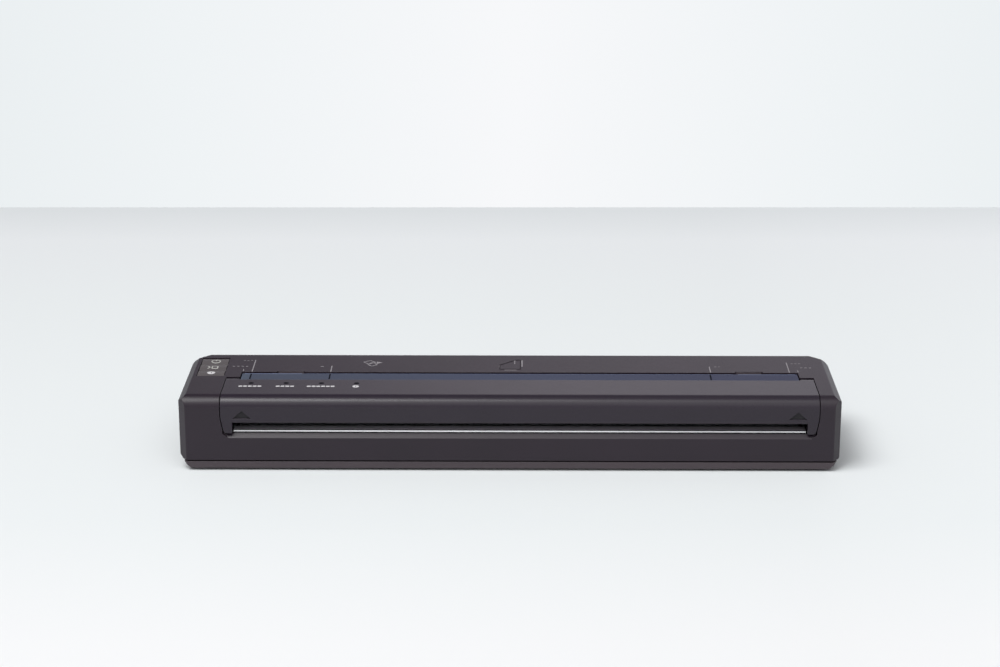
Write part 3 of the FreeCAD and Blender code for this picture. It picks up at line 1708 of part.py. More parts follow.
def main():
    """Build every piece and write one file per node."""
    os.makedirs("parts", exist_ok=True)
    save("top_housing", make_top_housing())
    save("bottom_cover", make_bottom_cover())
    save("rubber_feet", *make_rubber_feet())
    save("case_screws", *make_case_screws())
    save("base_frame", make_base_frame())
    save("frame_screws", *make_frame_screws())
    save("left_side_plate", make_left_side_plate())
    save("right_side_plate", make_side_plate((right_plate_inner, right_plate_outer), -1, right_plate_rear))
    save("tear_bar", make_tear_bar())
    save("exit_guide", make_exit_guide())
    save("paper_sensor", make_paper_sensor())
    save("feed_guide", make_feed_guide())
    save("cover_switch", make_cover_switch())
    save("platen_bushes", *make_platen_bushes())
    shaft, rubber, clip = make_platen()
    save("platen_shaft", shaft)
    save("platen_rubber", rubber)
    save("platen_clip", clip)
    for name, shape in make_gears().items():
        save(name, shape)
    save("gear_axles", *make_gear_axles())
    save("stepper_motor", make_motor())
    save("motor_rotor", make_motor_rotor())
    save("motor_screws", *make_motor_screws())
    save("cover_hinge_pins", *make_hinge_pins())
    save("release_cover", make_release_cover())
    save("feed_strip", make_feed_strip())
    save("led_lenses", *make_led_lenses())
    save("led_board", *make_led_board())
    sink, ceramic, driver = make_head_parts()
    save("heat_sink", sink)
    save("heater_strip", ceramic)
    save("head_driver_board", *driver)
    save("head_bracket", make_head_bracket())
    save("head_cable", make_head_cable())
    save("head_pivot_shaft", rod_x((left_plate_outer, right_plate_outer), pivot_y, pivot_z, pivot_radius))
    save("head_springs", *make_head_springs())
    save("main_board", make_main_board())
    save("board_standoffs", *make_board_standoffs())
    save("board_screws", *make_board_screws())
    save("board_parts", *make_board_parts())
    save("wireless_module", make_wireless_module())
    save("data_socket", make_socket())
    save("key_board", make_key_board())
    save("key_board_screws", *make_key_board_screws())
    save("key_switches", *make_key_switches())
    for index, name in enumerate(key_names):
        save(name + "_key", make_key(index))
        save(name + "_plunger", make_plunger(index))
    save("battery_pack", make_battery_pack())
    save("battery_tray", make_battery_tray())
    save("battery_contacts", *make_battery_contacts())
    save("battery_door", make_battery_door())


main()
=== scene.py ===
import bpy
import bmesh
import math
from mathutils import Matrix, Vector
from mathutils.bvhtree import BVHTree


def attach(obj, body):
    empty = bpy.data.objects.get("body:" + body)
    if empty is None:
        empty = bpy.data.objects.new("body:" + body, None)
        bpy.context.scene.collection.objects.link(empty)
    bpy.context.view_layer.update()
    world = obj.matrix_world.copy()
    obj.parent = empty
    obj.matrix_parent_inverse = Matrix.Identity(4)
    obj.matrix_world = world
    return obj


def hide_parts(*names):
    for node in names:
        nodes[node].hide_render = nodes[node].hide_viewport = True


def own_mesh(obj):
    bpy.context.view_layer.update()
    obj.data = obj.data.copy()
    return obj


# %% [markdown]
# # A slim portable printer, dressed for its portrait
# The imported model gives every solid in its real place, in metres. This lesson keeps those solids
# and gives each one a finish of its own, then adds the small printed and moulded details that
# would be wasteful to draw as solids: guide lines, key symbols, lamp marks and raised signs.

# %% Load the frame
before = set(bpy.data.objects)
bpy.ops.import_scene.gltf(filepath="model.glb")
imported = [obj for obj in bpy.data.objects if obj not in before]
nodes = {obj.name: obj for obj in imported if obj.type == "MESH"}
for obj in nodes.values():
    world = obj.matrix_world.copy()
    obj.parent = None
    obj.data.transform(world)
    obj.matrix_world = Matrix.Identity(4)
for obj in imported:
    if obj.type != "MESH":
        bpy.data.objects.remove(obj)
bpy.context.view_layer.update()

# %% [markdown]
# ## Looking at it as the photographer did
# The photograph was taken with a short telephoto lens from a little above the table. A long lens
# keeps the two ends of the bar almost parallel, so the focal length matters more than the place.
# The printer stood a little askew, its right end nearer, so the camera is turned by a third of a
# degree round it.

# %% Camera
MM = 0.001
SENSOR_WIDTH = 36.0
HEADING = 0.385


def place_camera(distance, sideways, height, pitch, heading, lens):
    """A camera that looks down by a pitch at the origin's side, turned by a heading in degrees."""
    data = bpy.data.cameras.new("portrait_camera")
    data.lens = lens
    data.sensor_width = SENSOR_WIDTH
    data.clip_start = 10 * MM
    camera = bpy.data.objects.new("portrait_camera", data)
    turn = math.radians(heading)
    camera.location = (sideways * math.cos(turn) + distance * math.sin(turn),
                       sideways * math.sin(turn) - distance * math.cos(turn), height)
    camera.rotation_euler = (math.radians(90.0 - pitch), 0.0, turn)
    bpy.context.scene.collection.objects.link(camera)
    return camera


camera = place_camera(distance=0.880611, sideways=-0.003902, height=0.33368,
                      pitch=18.024, heading=HEADING, lens=85.2)
bpy.context.scene.camera = camera
bpy.context.scene.view_settings.view_transform = "Standard"
print("camera at", tuple(round(v, 3) for v in camera.location))

# %% [markdown]
# ## Node trees without tears
# Every finish below is a small node tree. These helpers add a node with its values, join two
# sockets, and turn a colour picked on a screen (0 to 255) into the linear numbers that light uses.
# A Mix node holds sockets for every kind of data, so its colour sockets are reached by number.

# %% Helpers for node trees


def srgb(red, green, blue):
    """A screen colour as linear light, with full alpha."""
    def linear(value):
        share = value / 255.0
        return share / 12.92 if share <= 0.04045 else ((share + 0.055) / 1.055) ** 2.4
    return (linear(red), linear(green), linear(blue), 1.0)


def add(tree, kind, values=None, **settings):
    """Add a node, fill its sockets from values and its options from settings."""
    node = tree.nodes.new(kind)
    for name, option in settings.items():
        setattr(node, name, option)
    for socket, value in (values or {}).items():
        node.inputs[socket].default_value = value
    return node


def join(tree, source, output, target, socket):
    """Link one node's output to another node's socket."""
    tree.links.new(source.outputs[output], target.inputs[socket])


def new_material(name):
    """An empty material with its shader."""
    material = bpy.data.materials.new(name + "_finish")
    material.use_nodes = True
    return material, material.node_tree, material.node_tree.nodes["Principled BSDF"]


def grey(level):
    """A neutral colour in linear light; above 1 it brightens what it is multiplied with."""
    return (level, level, level, 1.0)


print("white is", srgb(255, 255, 255))

# %% [markdown]
# ## Painting by place
# A real surface is seldom one shade from end to end. Most drifts here follow one axis of the
# object: a coordinate is stretched to run from 0 to 1, a colour ramp turns it into colours, and
# the result is multiplied into what was there before.

# %% Helpers for drifts
FACTOR, COLOUR_A, COLOUR_B, COLOUR_OUT = 0, 6, 7, 2


def own_axis(tree, axis):
    """The object's own X, Y or Z at each point, in metres, as a socket."""
    place = add(tree, "ShaderNodeTexCoord")
    split = add(tree, "ShaderNodeSeparateXYZ")
    join(tree, place, "Object", split, "Vector")
    return split.outputs[axis]


def share_of(tree, steer, low, high):
    """A socket that runs from 0 to 1 while another one runs from low to high."""
    span = add(tree, "ShaderNodeMapRange", {"From Min": low, "From Max": high})
    tree.links.new(steer, span.inputs["Value"])
    return span.outputs["Result"]


def ramp_over(tree, steer, stops):
    """The colour at a share of a ramp, from (position, colour) stops in rising order."""
    ramp = add(tree, "ShaderNodeValToRGB")
    elements = ramp.color_ramp.elements
    elements[0].position, elements[0].color = stops[0]
    elements[1].position, elements[1].color = stops[-1]
    for position, colour in stops[1:-1]:
        elements.new(position).color = colour
    tree.links.new(steer, ramp.inputs["Fac"])
    return ramp.outputs["Color"]


def multiplied(tree, first, second):
    """The product of two colours."""
    mix = add(tree, "ShaderNodeMix", data_type="RGBA", blend_type="MULTIPLY")
    mix.inputs[FACTOR].default_value = 1.0
    tree.links.new(first, mix.inputs[COLOUR_A])
    tree.links.new(second, mix.inputs[COLOUR_B])
    return mix.outputs[COLOUR_OUT]


print("a half grey is", grey(0.5))

# %% [markdown]
# ## The table
# The printer stands on a pale table that ends at a bright wall. The table is one large sheet whose
# colour carries painted light: lighter in front, greyer at its far edge, and a little from side to
# side, lighter towards the right.
# Its far edge is turned with the camera, so that it lies level in the picture.

# %% Table
TABLE_FAR = 0.367
TABLE_NEAR = -1.6
TABLE_SIDE = 1.9
TABLE_DEPTH_RANGE = (-0.18, TABLE_FAR)
TABLE_WIDTH_RANGE = (-0.30, 0.30)
# painted light: these ramps brighten and darken the table over its depth and width
TABLE_PAINTED_LIGHT_DEPTH_STOPS = ((0.0, srgb(238, 239, 240)), (0.19, srgb(233, 237, 238)),
                     (0.66, srgb(237, 241, 242)), (0.88, srgb(240, 243, 245)),
                     (1.0, srgb(231, 235, 237)))
TABLE_PAINTED_LIGHT_WIDTH_STOPS = ((0.08, grey(0.95)), (0.34, grey(0.98)), (0.68, grey(1.01)),
                     (0.92, grey(1.09)))


def make_table():
    """A flat sheet under the printer, ending where the photograph's table ends."""
    mesh = bpy.data.meshes.new("table")
    skew = TABLE_SIDE * math.tan(math.radians(HEADING))
    corners = [(-TABLE_SIDE, TABLE_NEAR, 0), (TABLE_SIDE, TABLE_NEAR, 0),
               (TABLE_SIDE, TABLE_FAR + skew, 0), (-TABLE_SIDE, TABLE_FAR - skew, 0)]
    mesh.from_pydata(corners, [], [(0, 1, 2, 3)])
    table = bpy.data.objects.new("table", mesh)
    bpy.context.scene.collection.objects.link(table)
    return table


def table_material():
    """Pale matt laminate with painted light: lighter near the camera and towards the right."""
    material, tree, shader = new_material("table_laminate")
    depth = share_of(tree, own_axis(tree, "Y"), *TABLE_DEPTH_RANGE)
    width = share_of(tree, own_axis(tree, "X"), *TABLE_WIDTH_RANGE)
    tone = multiplied(tree, ramp_over(tree, depth, TABLE_PAINTED_LIGHT_DEPTH_STOPS),
                      ramp_over(tree, width, TABLE_PAINTED_LIGHT_WIDTH_STOPS))
    tree.links.new(tone, shader.inputs["Base Color"])
    shader.inputs["Roughness"].default_value = 0.65
    shader.inputs["Specular IOR Level"].default_value = 0.25
    return material


table = make_table()
table.data.materials.append(table_material())
print("table runs from", TABLE_NEAR, "to", TABLE_FAR)

# %% [markdown]
# ## The wall and the studio
# The wall is only the world's colour, seen by the camera and by shiny surfaces. It is brightest in
# its middle. Higher up the studio darkens, then opens again towards a pale ceiling, which is what
# the rounded front edge mirrors. All other rays get a plainer, dimmer sky, so that the light on
# the printer stays at the level where colours look as they are written.

# %% World
WALL_WIDTH_RANGE = (-0.25, 0.25)
WALL_FOOT_RANGE = (0.02, 0.15)
WALL_STOPS = ((0.0, srgb(233, 238, 240)), (0.22, srgb(239, 243, 245)),
              (0.5, srgb(247, 248, 250)), (0.78, srgb(239, 243, 245)),
              (1.0, srgb(234, 239, 241)))
RISE_STOPS = ((0.0, (1.0, 1.0, 1.0, 1.0)), (0.12, (1.15, 1.08, 1.15, 1.0)),
              (0.36, (1.15, 1.07, 1.13, 1.0)), (0.50, (0.50, 0.47, 0.50, 1.0)),
              (0.64, (0.22, 0.20, 0.22, 1.0)), (0.80, (0.36, 0.34, 0.36, 1.0)),
              (0.94, (0.60, 0.57, 0.60, 1.0)))
LEFT_STOPS = ((0.0, grey(0.35)), (0.34, grey(0.45)), (0.50, grey(0.95)), (1.0, grey(1.0)))
SOFT_SKY = (0.27, 0.27, 0.275, 1.0)


def seen_rays(tree):
    """A socket that is 1 for the camera's rays and for those through gloss and glass."""
    path = add(tree, "ShaderNodeLightPath")
    direct = add(tree, "ShaderNodeMath", operation="MAXIMUM")
    clear = add(tree, "ShaderNodeMath", operation="MAXIMUM")
    join(tree, path, "Is Camera Ray", direct, 0)
    join(tree, path, "Is Glossy Ray", direct, 1)
    join(tree, direct, "Value", clear, 0)
    join(tree, path, "Is Transmission Ray", clear, 1)
    return clear.outputs["Value"]


def make_world():
    """A bright wall low down, a darker studio above it, and a plain sky for soft light."""
    world = bpy.data.worlds.new("studio")
    world.use_nodes = True
    tree = world.node_tree
    place = add(tree, "ShaderNodeTexCoord")
    split = add(tree, "ShaderNodeSeparateXYZ")
    join(tree, place, "Generated", split, "Vector")
    across = share_of(tree, split.outputs["X"], *WALL_WIDTH_RANGE)
    wall = multiplied(tree, ramp_over(tree, across, WALL_STOPS),
                      ramp_over(tree, split.outputs["Z"], RISE_STOPS))
    dimmed = add(tree, "ShaderNodeMix", data_type="RGBA", blend_type="MULTIPLY")
    tree.links.new(share_of(tree, split.outputs["Z"], *WALL_FOOT_RANGE), dimmed.inputs[FACTOR])
    tree.links.new(wall, dimmed.inputs[COLOUR_A])
    tree.links.new(ramp_over(tree, across, LEFT_STOPS), dimmed.inputs[COLOUR_B])
    sky = add(tree, "ShaderNodeMix", data_type="RGBA")
    sky.inputs[COLOUR_A].default_value = SOFT_SKY
    tree.links.new(seen_rays(tree), sky.inputs[FACTOR])
    tree.links.new(dimmed.outputs[COLOUR_OUT], sky.inputs[COLOUR_B])
    shade = tree.nodes["Background"]
    tree.links.new(sky.outputs[COLOUR_OUT], shade.inputs["Color"])
    shade.inputs["Strength"].default_value = 1.0
    bpy.context.scene.world = world
    return world


world = make_world()
print("world", world.name)

# %% [markdown]
# ## Two soft lamps
# The shadow falls a short way to the right, and the rounded front edge and the lip under the slot
# are brightest at the left. So the main lamp is a softbox above the left front. A second, larger
# and weaker one above the camera opens the shadows in front.

# %% Lamps


def softbox(name, location, target, size, power):
    """A square area lamp that looks at a target."""
    data = bpy.data.lights.new(name, "AREA")
    data.size = size
    data.energy = power
    lamp = bpy.data.objects.new(name, data)
    lamp.location = location
    lamp.rotation_euler = (Vector(target) - Vector(location)).to_track_quat("-Z", "Y").to_euler()
    bpy.context.scene.collection.objects.link(lamp)
    return lamp


key_lamp = softbox("key_softbox", location=(-0.66, -0.56, 1.66), target=(0, 0, 0),
                   size=1.00, power=24.0)
fill_lamp = softbox("fill_softbox", location=(0.15, -1.35, 1.75), target=(0, 0, 0),
                    size=2.20, power=18.5)
print("lamps:", key_lamp.name, fill_lamp.name)

# %% [markdown]
# ## One recipe for solid finishes
# A moulded or rolled surface differs from a flat colour in four ways: its shade drifts a little,
# its gloss is uneven, it has a fine grain, and its sharp edges are slightly rounded and paler from
# handling; on the navy strip that paler edge is a painted highlight. The recipe below takes the
# size of each of those. The rounding uses the Bevel node,
# which bends the surface normal near an edge without touching the mesh.

# %% Noise, blends, and the edge mask for wear and painted highlight
NOISE_MIDDLE = (0.3, 0.7)
FLAT, PALE_EDGE_TURN = 0.999, 0.90
BEVEL_SAMPLES = 4


def lumps(tree, size, stretch=(1.0, 1.0, 1.0), detail=2.0):
    """Noise with lumps of a given size in metres, drawn out along an axis by stretch."""
    place = add(tree, "ShaderNodeTexCoord")
    scale = add(tree, "ShaderNodeMapping")
    scale.inputs["Scale"].default_value = [1.0 / (size * share) for share in stretch]
    noise = add(tree, "ShaderNodeTexNoise", {"Scale": 1.0, "Detail": detail})
    join(tree, place, "Object", scale, "Vector")
    join(tree, scale, "Vector", noise, "Vector")
    return noise


def blend_colours(tree, mask, output, first, second):
    """A Mix node between two colours, steered by a mask; returns the node."""
    mix = add(tree, "ShaderNodeMix", data_type="RGBA")
    mix.inputs[COLOUR_A].default_value = first
    mix.inputs[COLOUR_B].default_value = second
    join(tree, mask, output, mix, FACTOR)
    return mix


def spread_value(tree, source, output, low, high):
    """The middle of a noise, stretched over a range."""
    span = add(tree, "ShaderNodeMapRange",
               {"From Min": NOISE_MIDDLE[0], "From Max": NOISE_MIDDLE[1],
                "To Min": low, "To Max": high})
    join(tree, source, output, span, "Value")
    return span


def edge_wear_and_highlight(tree, rounded):
    """A mask that is 1 where the rounded normal leaves the flat one, along sharp edges."""
    flat = add(tree, "ShaderNodeNewGeometry")
    turn = add(tree, "ShaderNodeVectorMath", operation="DOT_PRODUCT")
    mask = add(tree, "ShaderNodeMapRange",
               {"From Min": FLAT, "From Max": PALE_EDGE_TURN, "To Min": 0.0, "To Max": 1.0})
    join(tree, rounded, "Normal", turn, 0)
    join(tree, flat, "Normal", turn, 1)
    join(tree, turn, "Value", mask, "Value")
    return mask


print("edges wear where the normal turns by", round(math.degrees(math.acos(PALE_EDGE_TURN))), "degrees")

# %% Recipe for a finish


def finish(name, colour, drift, rough, grain, depth, metal=0.0, patch=0.02,
           stretch=(1.0, 1.0, 1.0), edge=0.00015, edge_colour=None, rough_spread=0.06, **sockets):
    """A procedural finish: colour drift, uneven gloss, grain, and rounded, paler edges."""
    material, tree, shader = new_material(name)
    shader.inputs["Metallic"].default_value = metal
    for socket, value in sockets.items():
        shader.inputs[socket.replace("_", " ")].default_value = value
    cloud = lumps(tree, patch, stretch)
    span = spread_value(tree, cloud, "Fac", 0.0, 1.0)
    tone = blend_colours(tree, span, "Result", colour, drift)
    rounded = add(tree, "ShaderNodeBevel", {"Radius": edge}, samples=BEVEL_SAMPLES)
    # the paler edge colour is wear from handling, and on the navy strip a painted highlight
    if edge_colour:
        mask = edge_wear_and_highlight(tree, rounded)
        pale = add(tree, "ShaderNodeMix", data_type="RGBA")
        pale.inputs[COLOUR_B].default_value = edge_colour
        join(tree, mask, "Result", pale, FACTOR)
        tree.links.new(tone.outputs[COLOUR_OUT], pale.inputs[COLOUR_A])
        tone = pale
    tree.links.new(tone.outputs[COLOUR_OUT], shader.inputs["Base Color"])
    speck = lumps(tree, grain, stretch)
    gloss = spread_value(tree, speck, "Fac", rough - rough_spread, rough + rough_spread)
    join(tree, gloss, "Result", shader, "Roughness")
    bump = add(tree, "ShaderNodeBump", {"Strength": 1.0, "Distance": depth})
    join(tree, speck, "Fac", bump, "Height")
    join(tree, rounded, "Normal", bump, "Normal")
    join(tree, bump, "Normal", shader, "Normal")
    return material


def opened(material):
    """A finish's tree, its shader and the colour that reaches it, ready to be painted over."""
    tree = material.node_tree
    shader = tree.nodes["Principled BSDF"]
    return tree, shader, shader.inputs["Base Color"].links[0].from_socket


finishes = {}
print("recipe ready; finishes so far:", len(finishes))

# %% [markdown]
# ## Moulded plastics
# The case is one dark warm grey plastic with a fine sparked texture, a little lighter on the
# cover. The keys are smoother. Such plastic reflects a soft, broad highlight, so the roughness
# stays near a half and the specular level a little below that of clear lacquer.

# %% Case, cover and key plastics
finishes["housing_plastic"] = finish(
    "housing_plastic", srgb(28, 17, 29), srgb(32, 20, 33), rough=0.42, grain=0.00022,
    depth=0.000010, patch=0.03, edge=0.00025, edge_colour=srgb(50, 42, 50),
    Specular_IOR_Level=0.44)
finishes["cover_plastic"] = finish(
    "cover_plastic", srgb(29, 20, 33), srgb(33, 24, 37), rough=0.32, grain=0.00022,
    depth=0.000008, patch=0.03, edge=0.00025, edge_colour=srgb(54, 48, 56),
    Specular_IOR_Level=0.46)
finishes["base_plastic"] = finish(
    "base_plastic", srgb(66, 56, 62), srgb(70, 59, 65), rough=0.50, grain=0.00022,
    depth=0.000010, patch=0.03, edge=0.00025, edge_colour=srgb(84, 78, 82))
finishes["key_plastic"] = finish(
    "key_plastic", srgb(80, 75, 77), srgb(84, 79, 80), rough=0.52, grain=0.00025,
    depth=0.000006, patch=0.01, edge=0.0002, edge_colour=srgb(84, 80, 82))
finishes["guide_plastic"] = finish(
    "guide_plastic", srgb(58, 55, 59), srgb(64, 61, 65), rough=0.42, grain=0.0003,
    depth=0.000006, patch=0.012, edge=0.0001)
finishes["gear_plastic"] = finish(
    "gear_plastic", srgb(218, 214, 202), srgb(208, 204, 190), rough=0.35, grain=0.0004,
    depth=0.000004, patch=0.004, edge=0.00006)
finishes["battery_plastic"] = finish(
    "battery_plastic", srgb(36, 38, 44), srgb(30, 32, 38), rough=0.30, grain=0.0006,
    depth=0.000006, patch=0.02, edge=0.0002, edge_colour=srgb(58, 60, 66))
print("plastics:", sorted(finishes))

# %% [markdown]
# ## The navy strip
# The strip behind the cover is smooth navy plastic. In the photograph it is lighter and greyer at
# the left and a deep navy at the right. That drift is painted light, painted with a ramp over the
# object's own X, and the pale colour of its edges is a painted highlight; the rest follows the
# general recipe.

# %% Strip plastic
STRIP_ENDS = (-0.1054, 0.113)
# painted light: lighter and greyer at the left end, darkening to deep navy at the right
STRIP_PAINTED_LIGHT_STOPS = ((0.0, srgb(66, 78, 92)), (0.01, srgb(66, 78, 92)), (0.02, srgb(56, 65, 80)),
               (0.40, srgb(46, 56, 80)), (0.70, srgb(36, 45, 72)), (0.84, srgb(24, 32, 62)),
               (0.85, srgb(26, 34, 66)), (1.0, srgb(20, 28, 60)))
STRIP_PAINTED_LIGHT_SHARE = 0.75


def strip_material():
    """Smooth navy plastic with painted light: lighter and greyer towards its left end, and a
    painted highlight on its edges.
    """
    # the pale edge colour here is a painted highlight along the strip's rear edge
    material = finish("strip_plastic", srgb(28, 36, 66), srgb(31, 40, 72), rough=0.52,
                      grain=0.0005, depth=0.000003, patch=0.05, edge=0.0002,
                      edge_colour=srgb(108, 124, 160))
    tree, shader, tone = opened(material)
    # painted light: the ramp over X lightens the strip towards its left end
    along = share_of(tree, own_axis(tree, "X"), *STRIP_ENDS)
    mix = add(tree, "ShaderNodeMix", data_type="RGBA")
    mix.inputs[FACTOR].default_value = STRIP_PAINTED_LIGHT_SHARE
    tree.links.new(tone, mix.inputs[COLOUR_A])
    tree.links.new(ramp_over(tree, along, STRIP_PAINTED_LIGHT_STOPS), mix.inputs[COLOUR_B])
    tree.links.new(mix.outputs[COLOUR_OUT], shader.inputs["Base Color"])
    return material


finishes["strip_plastic"] = strip_material()
print("strip material", finishes["strip_plastic"].name)

# %% [markdown]
# ## Rubber
# The feet are soft matt rubber. The platen is rubber too, but its face is ground true, which
# leaves fine rings round it, so its grain is drawn thin along X and long round the roller.

# %% Rubbers
finishes["foot_rubber"] = finish(
    "foot_rubber", srgb(28, 28, 29), srgb(34, 34, 35), rough=0.78, grain=0.00035,
    depth=0.00002, patch=0.004, edge=0.0003, edge_colour=srgb(46, 46, 47))
finishes["platen_rubber"] = finish(
    "platen_rubber", srgb(34, 34, 36), srgb(40, 40, 42), rough=0.62, grain=0.0004,
    depth=0.000012, stretch=(0.25, 6.0, 6.0), patch=0.01, edge=0.0002,
    edge_colour=srgb(52, 52, 54))
print("rubbers ready")

# %% [markdown]
# ## Metals
# Rolled sheet has faint lines along the roll, turned shafts have rings, and plated screws are
# duller. The metal itself is set on the shader's Metallic socket, and the lines come from noise
# stretched along the way the metal was worked.

# %% Frame, shafts and screws
ALONG_X = (12.0, 0.6, 0.6)
ROUND_X = (0.3, 5.0, 5.0)
finishes["frame_steel"] = finish(
    "frame_steel", srgb(176, 178, 180), srgb(160, 163, 166), rough=0.38, grain=0.0003,
    depth=0.000004, metal=1.0, stretch=ALONG_X, patch=0.006, edge=0.0001)
finishes["shaft_steel"] = finish(
    "shaft_steel", srgb(196, 196, 198), srgb(182, 182, 185), rough=0.22, grain=0.00025,
    depth=0.000003, metal=1.0, stretch=ROUND_X, patch=0.006, edge=0.0001)
finishes["screw_steel"] = finish(
    "screw_steel", srgb(120, 120, 124), srgb(96, 97, 101), rough=0.36, grain=0.0002,
    depth=0.000005, metal=1.0, patch=0.0015, edge=0.0001, edge_colour=srgb(170, 170, 174))
print("steels:", [name for name in finishes if name.endswith("steel")])

# %% [markdown]
# ## The tear bar
# The steel bar in the exit slot is ground. Only a narrow band of its front face catches the light
# and reads as one bright line, so a ramp over Z paints that highlight into the colour, paints
# shade on the rest of the face and keeps the top dull. A second ramp over X paints the highlight
# brightest left of its middle, as in the photograph.

# %% Tear bar
TEAR_LOW, TEAR_TOP = 0.0150, 0.0163
TEAR_ENDS = (-0.11, 0.12)
# painted highlight and painted shade: the bright band and the dark face around it
TEAR_PAINTED_SHADE, TEAR_DULL, TEAR_PAINTED_HIGHLIGHT = (0.06, 0.058, 0.062, 1.0), (0.75, 0.72, 0.76, 1.0), grey(1.0)
TEAR_HIGHLIGHT_BAND_STOPS = ((0.0, TEAR_PAINTED_SHADE), (0.22, TEAR_PAINTED_SHADE), (0.25, TEAR_PAINTED_HIGHLIGHT),
                     (0.72, TEAR_PAINTED_HIGHLIGHT), (0.75, TEAR_PAINTED_SHADE), (0.97, TEAR_PAINTED_SHADE),
                     (0.99, TEAR_DULL))
TEAR_HIGHLIGHT_FALLOFF_STOPS = ((0.0, grey(0.70)), (0.16, grey(0.92)), (0.34, grey(1.0)),
                    (0.62, grey(0.92)), (0.78, grey(0.76)), (1.0, grey(0.74)))
TOP_SHARE = 0.985
TOP_ROUGHER = 0.5


def tear_material():
    """Ground steel with a painted highlight band on the front face, painted shade above and below
    it, and a duller top.
    """
    material = finish("tear_steel", srgb(252, 251, 253), srgb(244, 243, 246), rough=0.28,
                      grain=0.0003, depth=0.0000004, metal=1.0, stretch=ALONG_X, patch=0.01)
    tree, shader, tone = opened(material)
    height = share_of(tree, own_axis(tree, "Z"), TEAR_LOW, TEAR_TOP)
    width = share_of(tree, own_axis(tree, "X"), *TEAR_ENDS)
    # painted highlight and painted shade over Z, and the highlight's falloff over X
    highlight_banded = multiplied(tree, tone, ramp_over(tree, height, TEAR_HIGHLIGHT_BAND_STOPS))
    highlight_painted = multiplied(tree, highlight_banded, ramp_over(tree, width, TEAR_HIGHLIGHT_FALLOFF_STOPS))
    tree.links.new(highlight_painted, shader.inputs["Base Color"])
    top = add(tree, "ShaderNodeMath", {1: TOP_SHARE}, operation="GREATER_THAN")
    gloss = add(tree, "ShaderNodeMath", {1: TOP_ROUGHER}, operation="MULTIPLY_ADD")
    tree.links.new(height, top.inputs[0])
    join(tree, top, "Value", gloss, 0)
    tree.links.new(shader.inputs["Roughness"].links[0].from_socket, gloss.inputs[2])
    join(tree, gloss, "Value", shader, "Roughness")
    return material


finishes["tear_steel"] = tear_material()
highlight_share = TEAR_HIGHLIGHT_BAND_STOPS[3][0] - TEAR_HIGHLIGHT_BAND_STOPS[2][0]
print("the tear bar's bright band is", round((TEAR_TOP - TEAR_LOW) * highlight_share / MM, 2),
      "mm high")

# %% [markdown]
# ## The other metals
# The motor's can is drawn and polished, the wireless module's shield is tinned, the print
# head's heat sink is a drawn aluminium bar, and the bushes are sintered bronze. The battery's
# contacts are gilt, which keeps them from tarnishing.

# %% Springs, motor, shield, heat sink, bushes and contacts
finishes["spring_steel"] = finish(
    "spring_steel", srgb(168, 168, 172), srgb(140, 141, 146), rough=0.28, grain=0.0002,
    depth=0.000003, metal=1.0, patch=0.001, edge=0.00004)
finishes["motor_steel"] = finish(
    "motor_steel", srgb(172, 173, 176), srgb(150, 152, 156), rough=0.32, grain=0.0003,
    depth=0.000004, metal=1.0, stretch=ROUND_X, patch=0.005, edge=0.0002,
    edge_colour=srgb(204, 205, 208))
finishes["shield_metal"] = finish(
    "shield_metal", srgb(196, 197, 199), srgb(178, 180, 183), rough=0.30, grain=0.0004,
    depth=0.000004, metal=1.0, patch=0.003, edge=0.0002)
finishes["sink_aluminium"] = finish(
    "sink_aluminium", srgb(186, 188, 191), srgb(172, 174, 178), rough=0.40, grain=0.0003,
    depth=0.000006, metal=1.0, stretch=ALONG_X, patch=0.008, edge=0.0002,
    edge_colour=srgb(214, 216, 218))
finishes["bush_bronze"] = finish(
    "bush_bronze", srgb(176, 134, 74), srgb(150, 110, 58), rough=0.42, grain=0.0002,
    depth=0.00001, metal=1.0, patch=0.001, edge=0.0001)
finishes["contact_gold"] = finish(
    "contact_gold", srgb(222, 184, 104), srgb(206, 166, 84), rough=0.24, grain=0.0003,
    depth=0.000002, metal=1.0, patch=0.002, edge=0.00005)
print("metals ready:", len(finishes))

# %% [markdown]
# ## Electronic parts
# A circuit board is glass fibre under a thin green lacquer, with copper tracks that show as
# slightly raised, lighter lines. A Voronoi pattern measured along the axes gives straight tracks
# with corners. Black chips have a fine moulded grain, and the print head's ceramic is glazed.

# %% Boards and chips
TRACK_CELLS = 420.0
TRACK_STEP = 0.12


def board_material():
    """Green solder mask over copper tracks."""
    material = finish("board_green", srgb(16, 74, 44), srgb(13, 64, 38), rough=0.30,
                      grain=0.0006, depth=0.000004, patch=0.01, edge=0.0001,
                      edge_colour=srgb(150, 142, 96))
    tree, shader, tone = opened(material)
    place = add(tree, "ShaderNodeTexCoord")
    cells = add(tree, "ShaderNodeTexVoronoi", {"Scale": TRACK_CELLS, "Randomness": 0.85},
                distance="CHEBYCHEV", feature="F2")
    band = add(tree, "ShaderNodeMath", {1: TRACK_STEP}, operation="PINGPONG")
    edge = add(tree, "ShaderNodeMapRange", {"From Min": 0.045, "From Max": 0.060})
    mix = add(tree, "ShaderNodeMix", data_type="RGBA")
    mix.inputs[COLOUR_B].default_value = srgb(38, 112, 66)
    join(tree, place, "Object", cells, "Vector")
    join(tree, cells, "Distance", band, 0)
    join(tree, band, "Value", edge, "Value")
    join(tree, edge, "Result", mix, FACTOR)
    tree.links.new(tone, mix.inputs[COLOUR_A])
    tree.links.new(mix.outputs[COLOUR_OUT], shader.inputs["Base Color"])
    tracks = add(tree, "ShaderNodeBump", {"Strength": 0.6, "Distance": 0.00003})
    below = shader.inputs["Normal"].links[0].from_socket
    join(tree, edge, "Result", tracks, "Height")
    tree.links.new(below, tracks.inputs["Normal"])
    join(tree, tracks, "Normal", shader, "Normal")
    return material


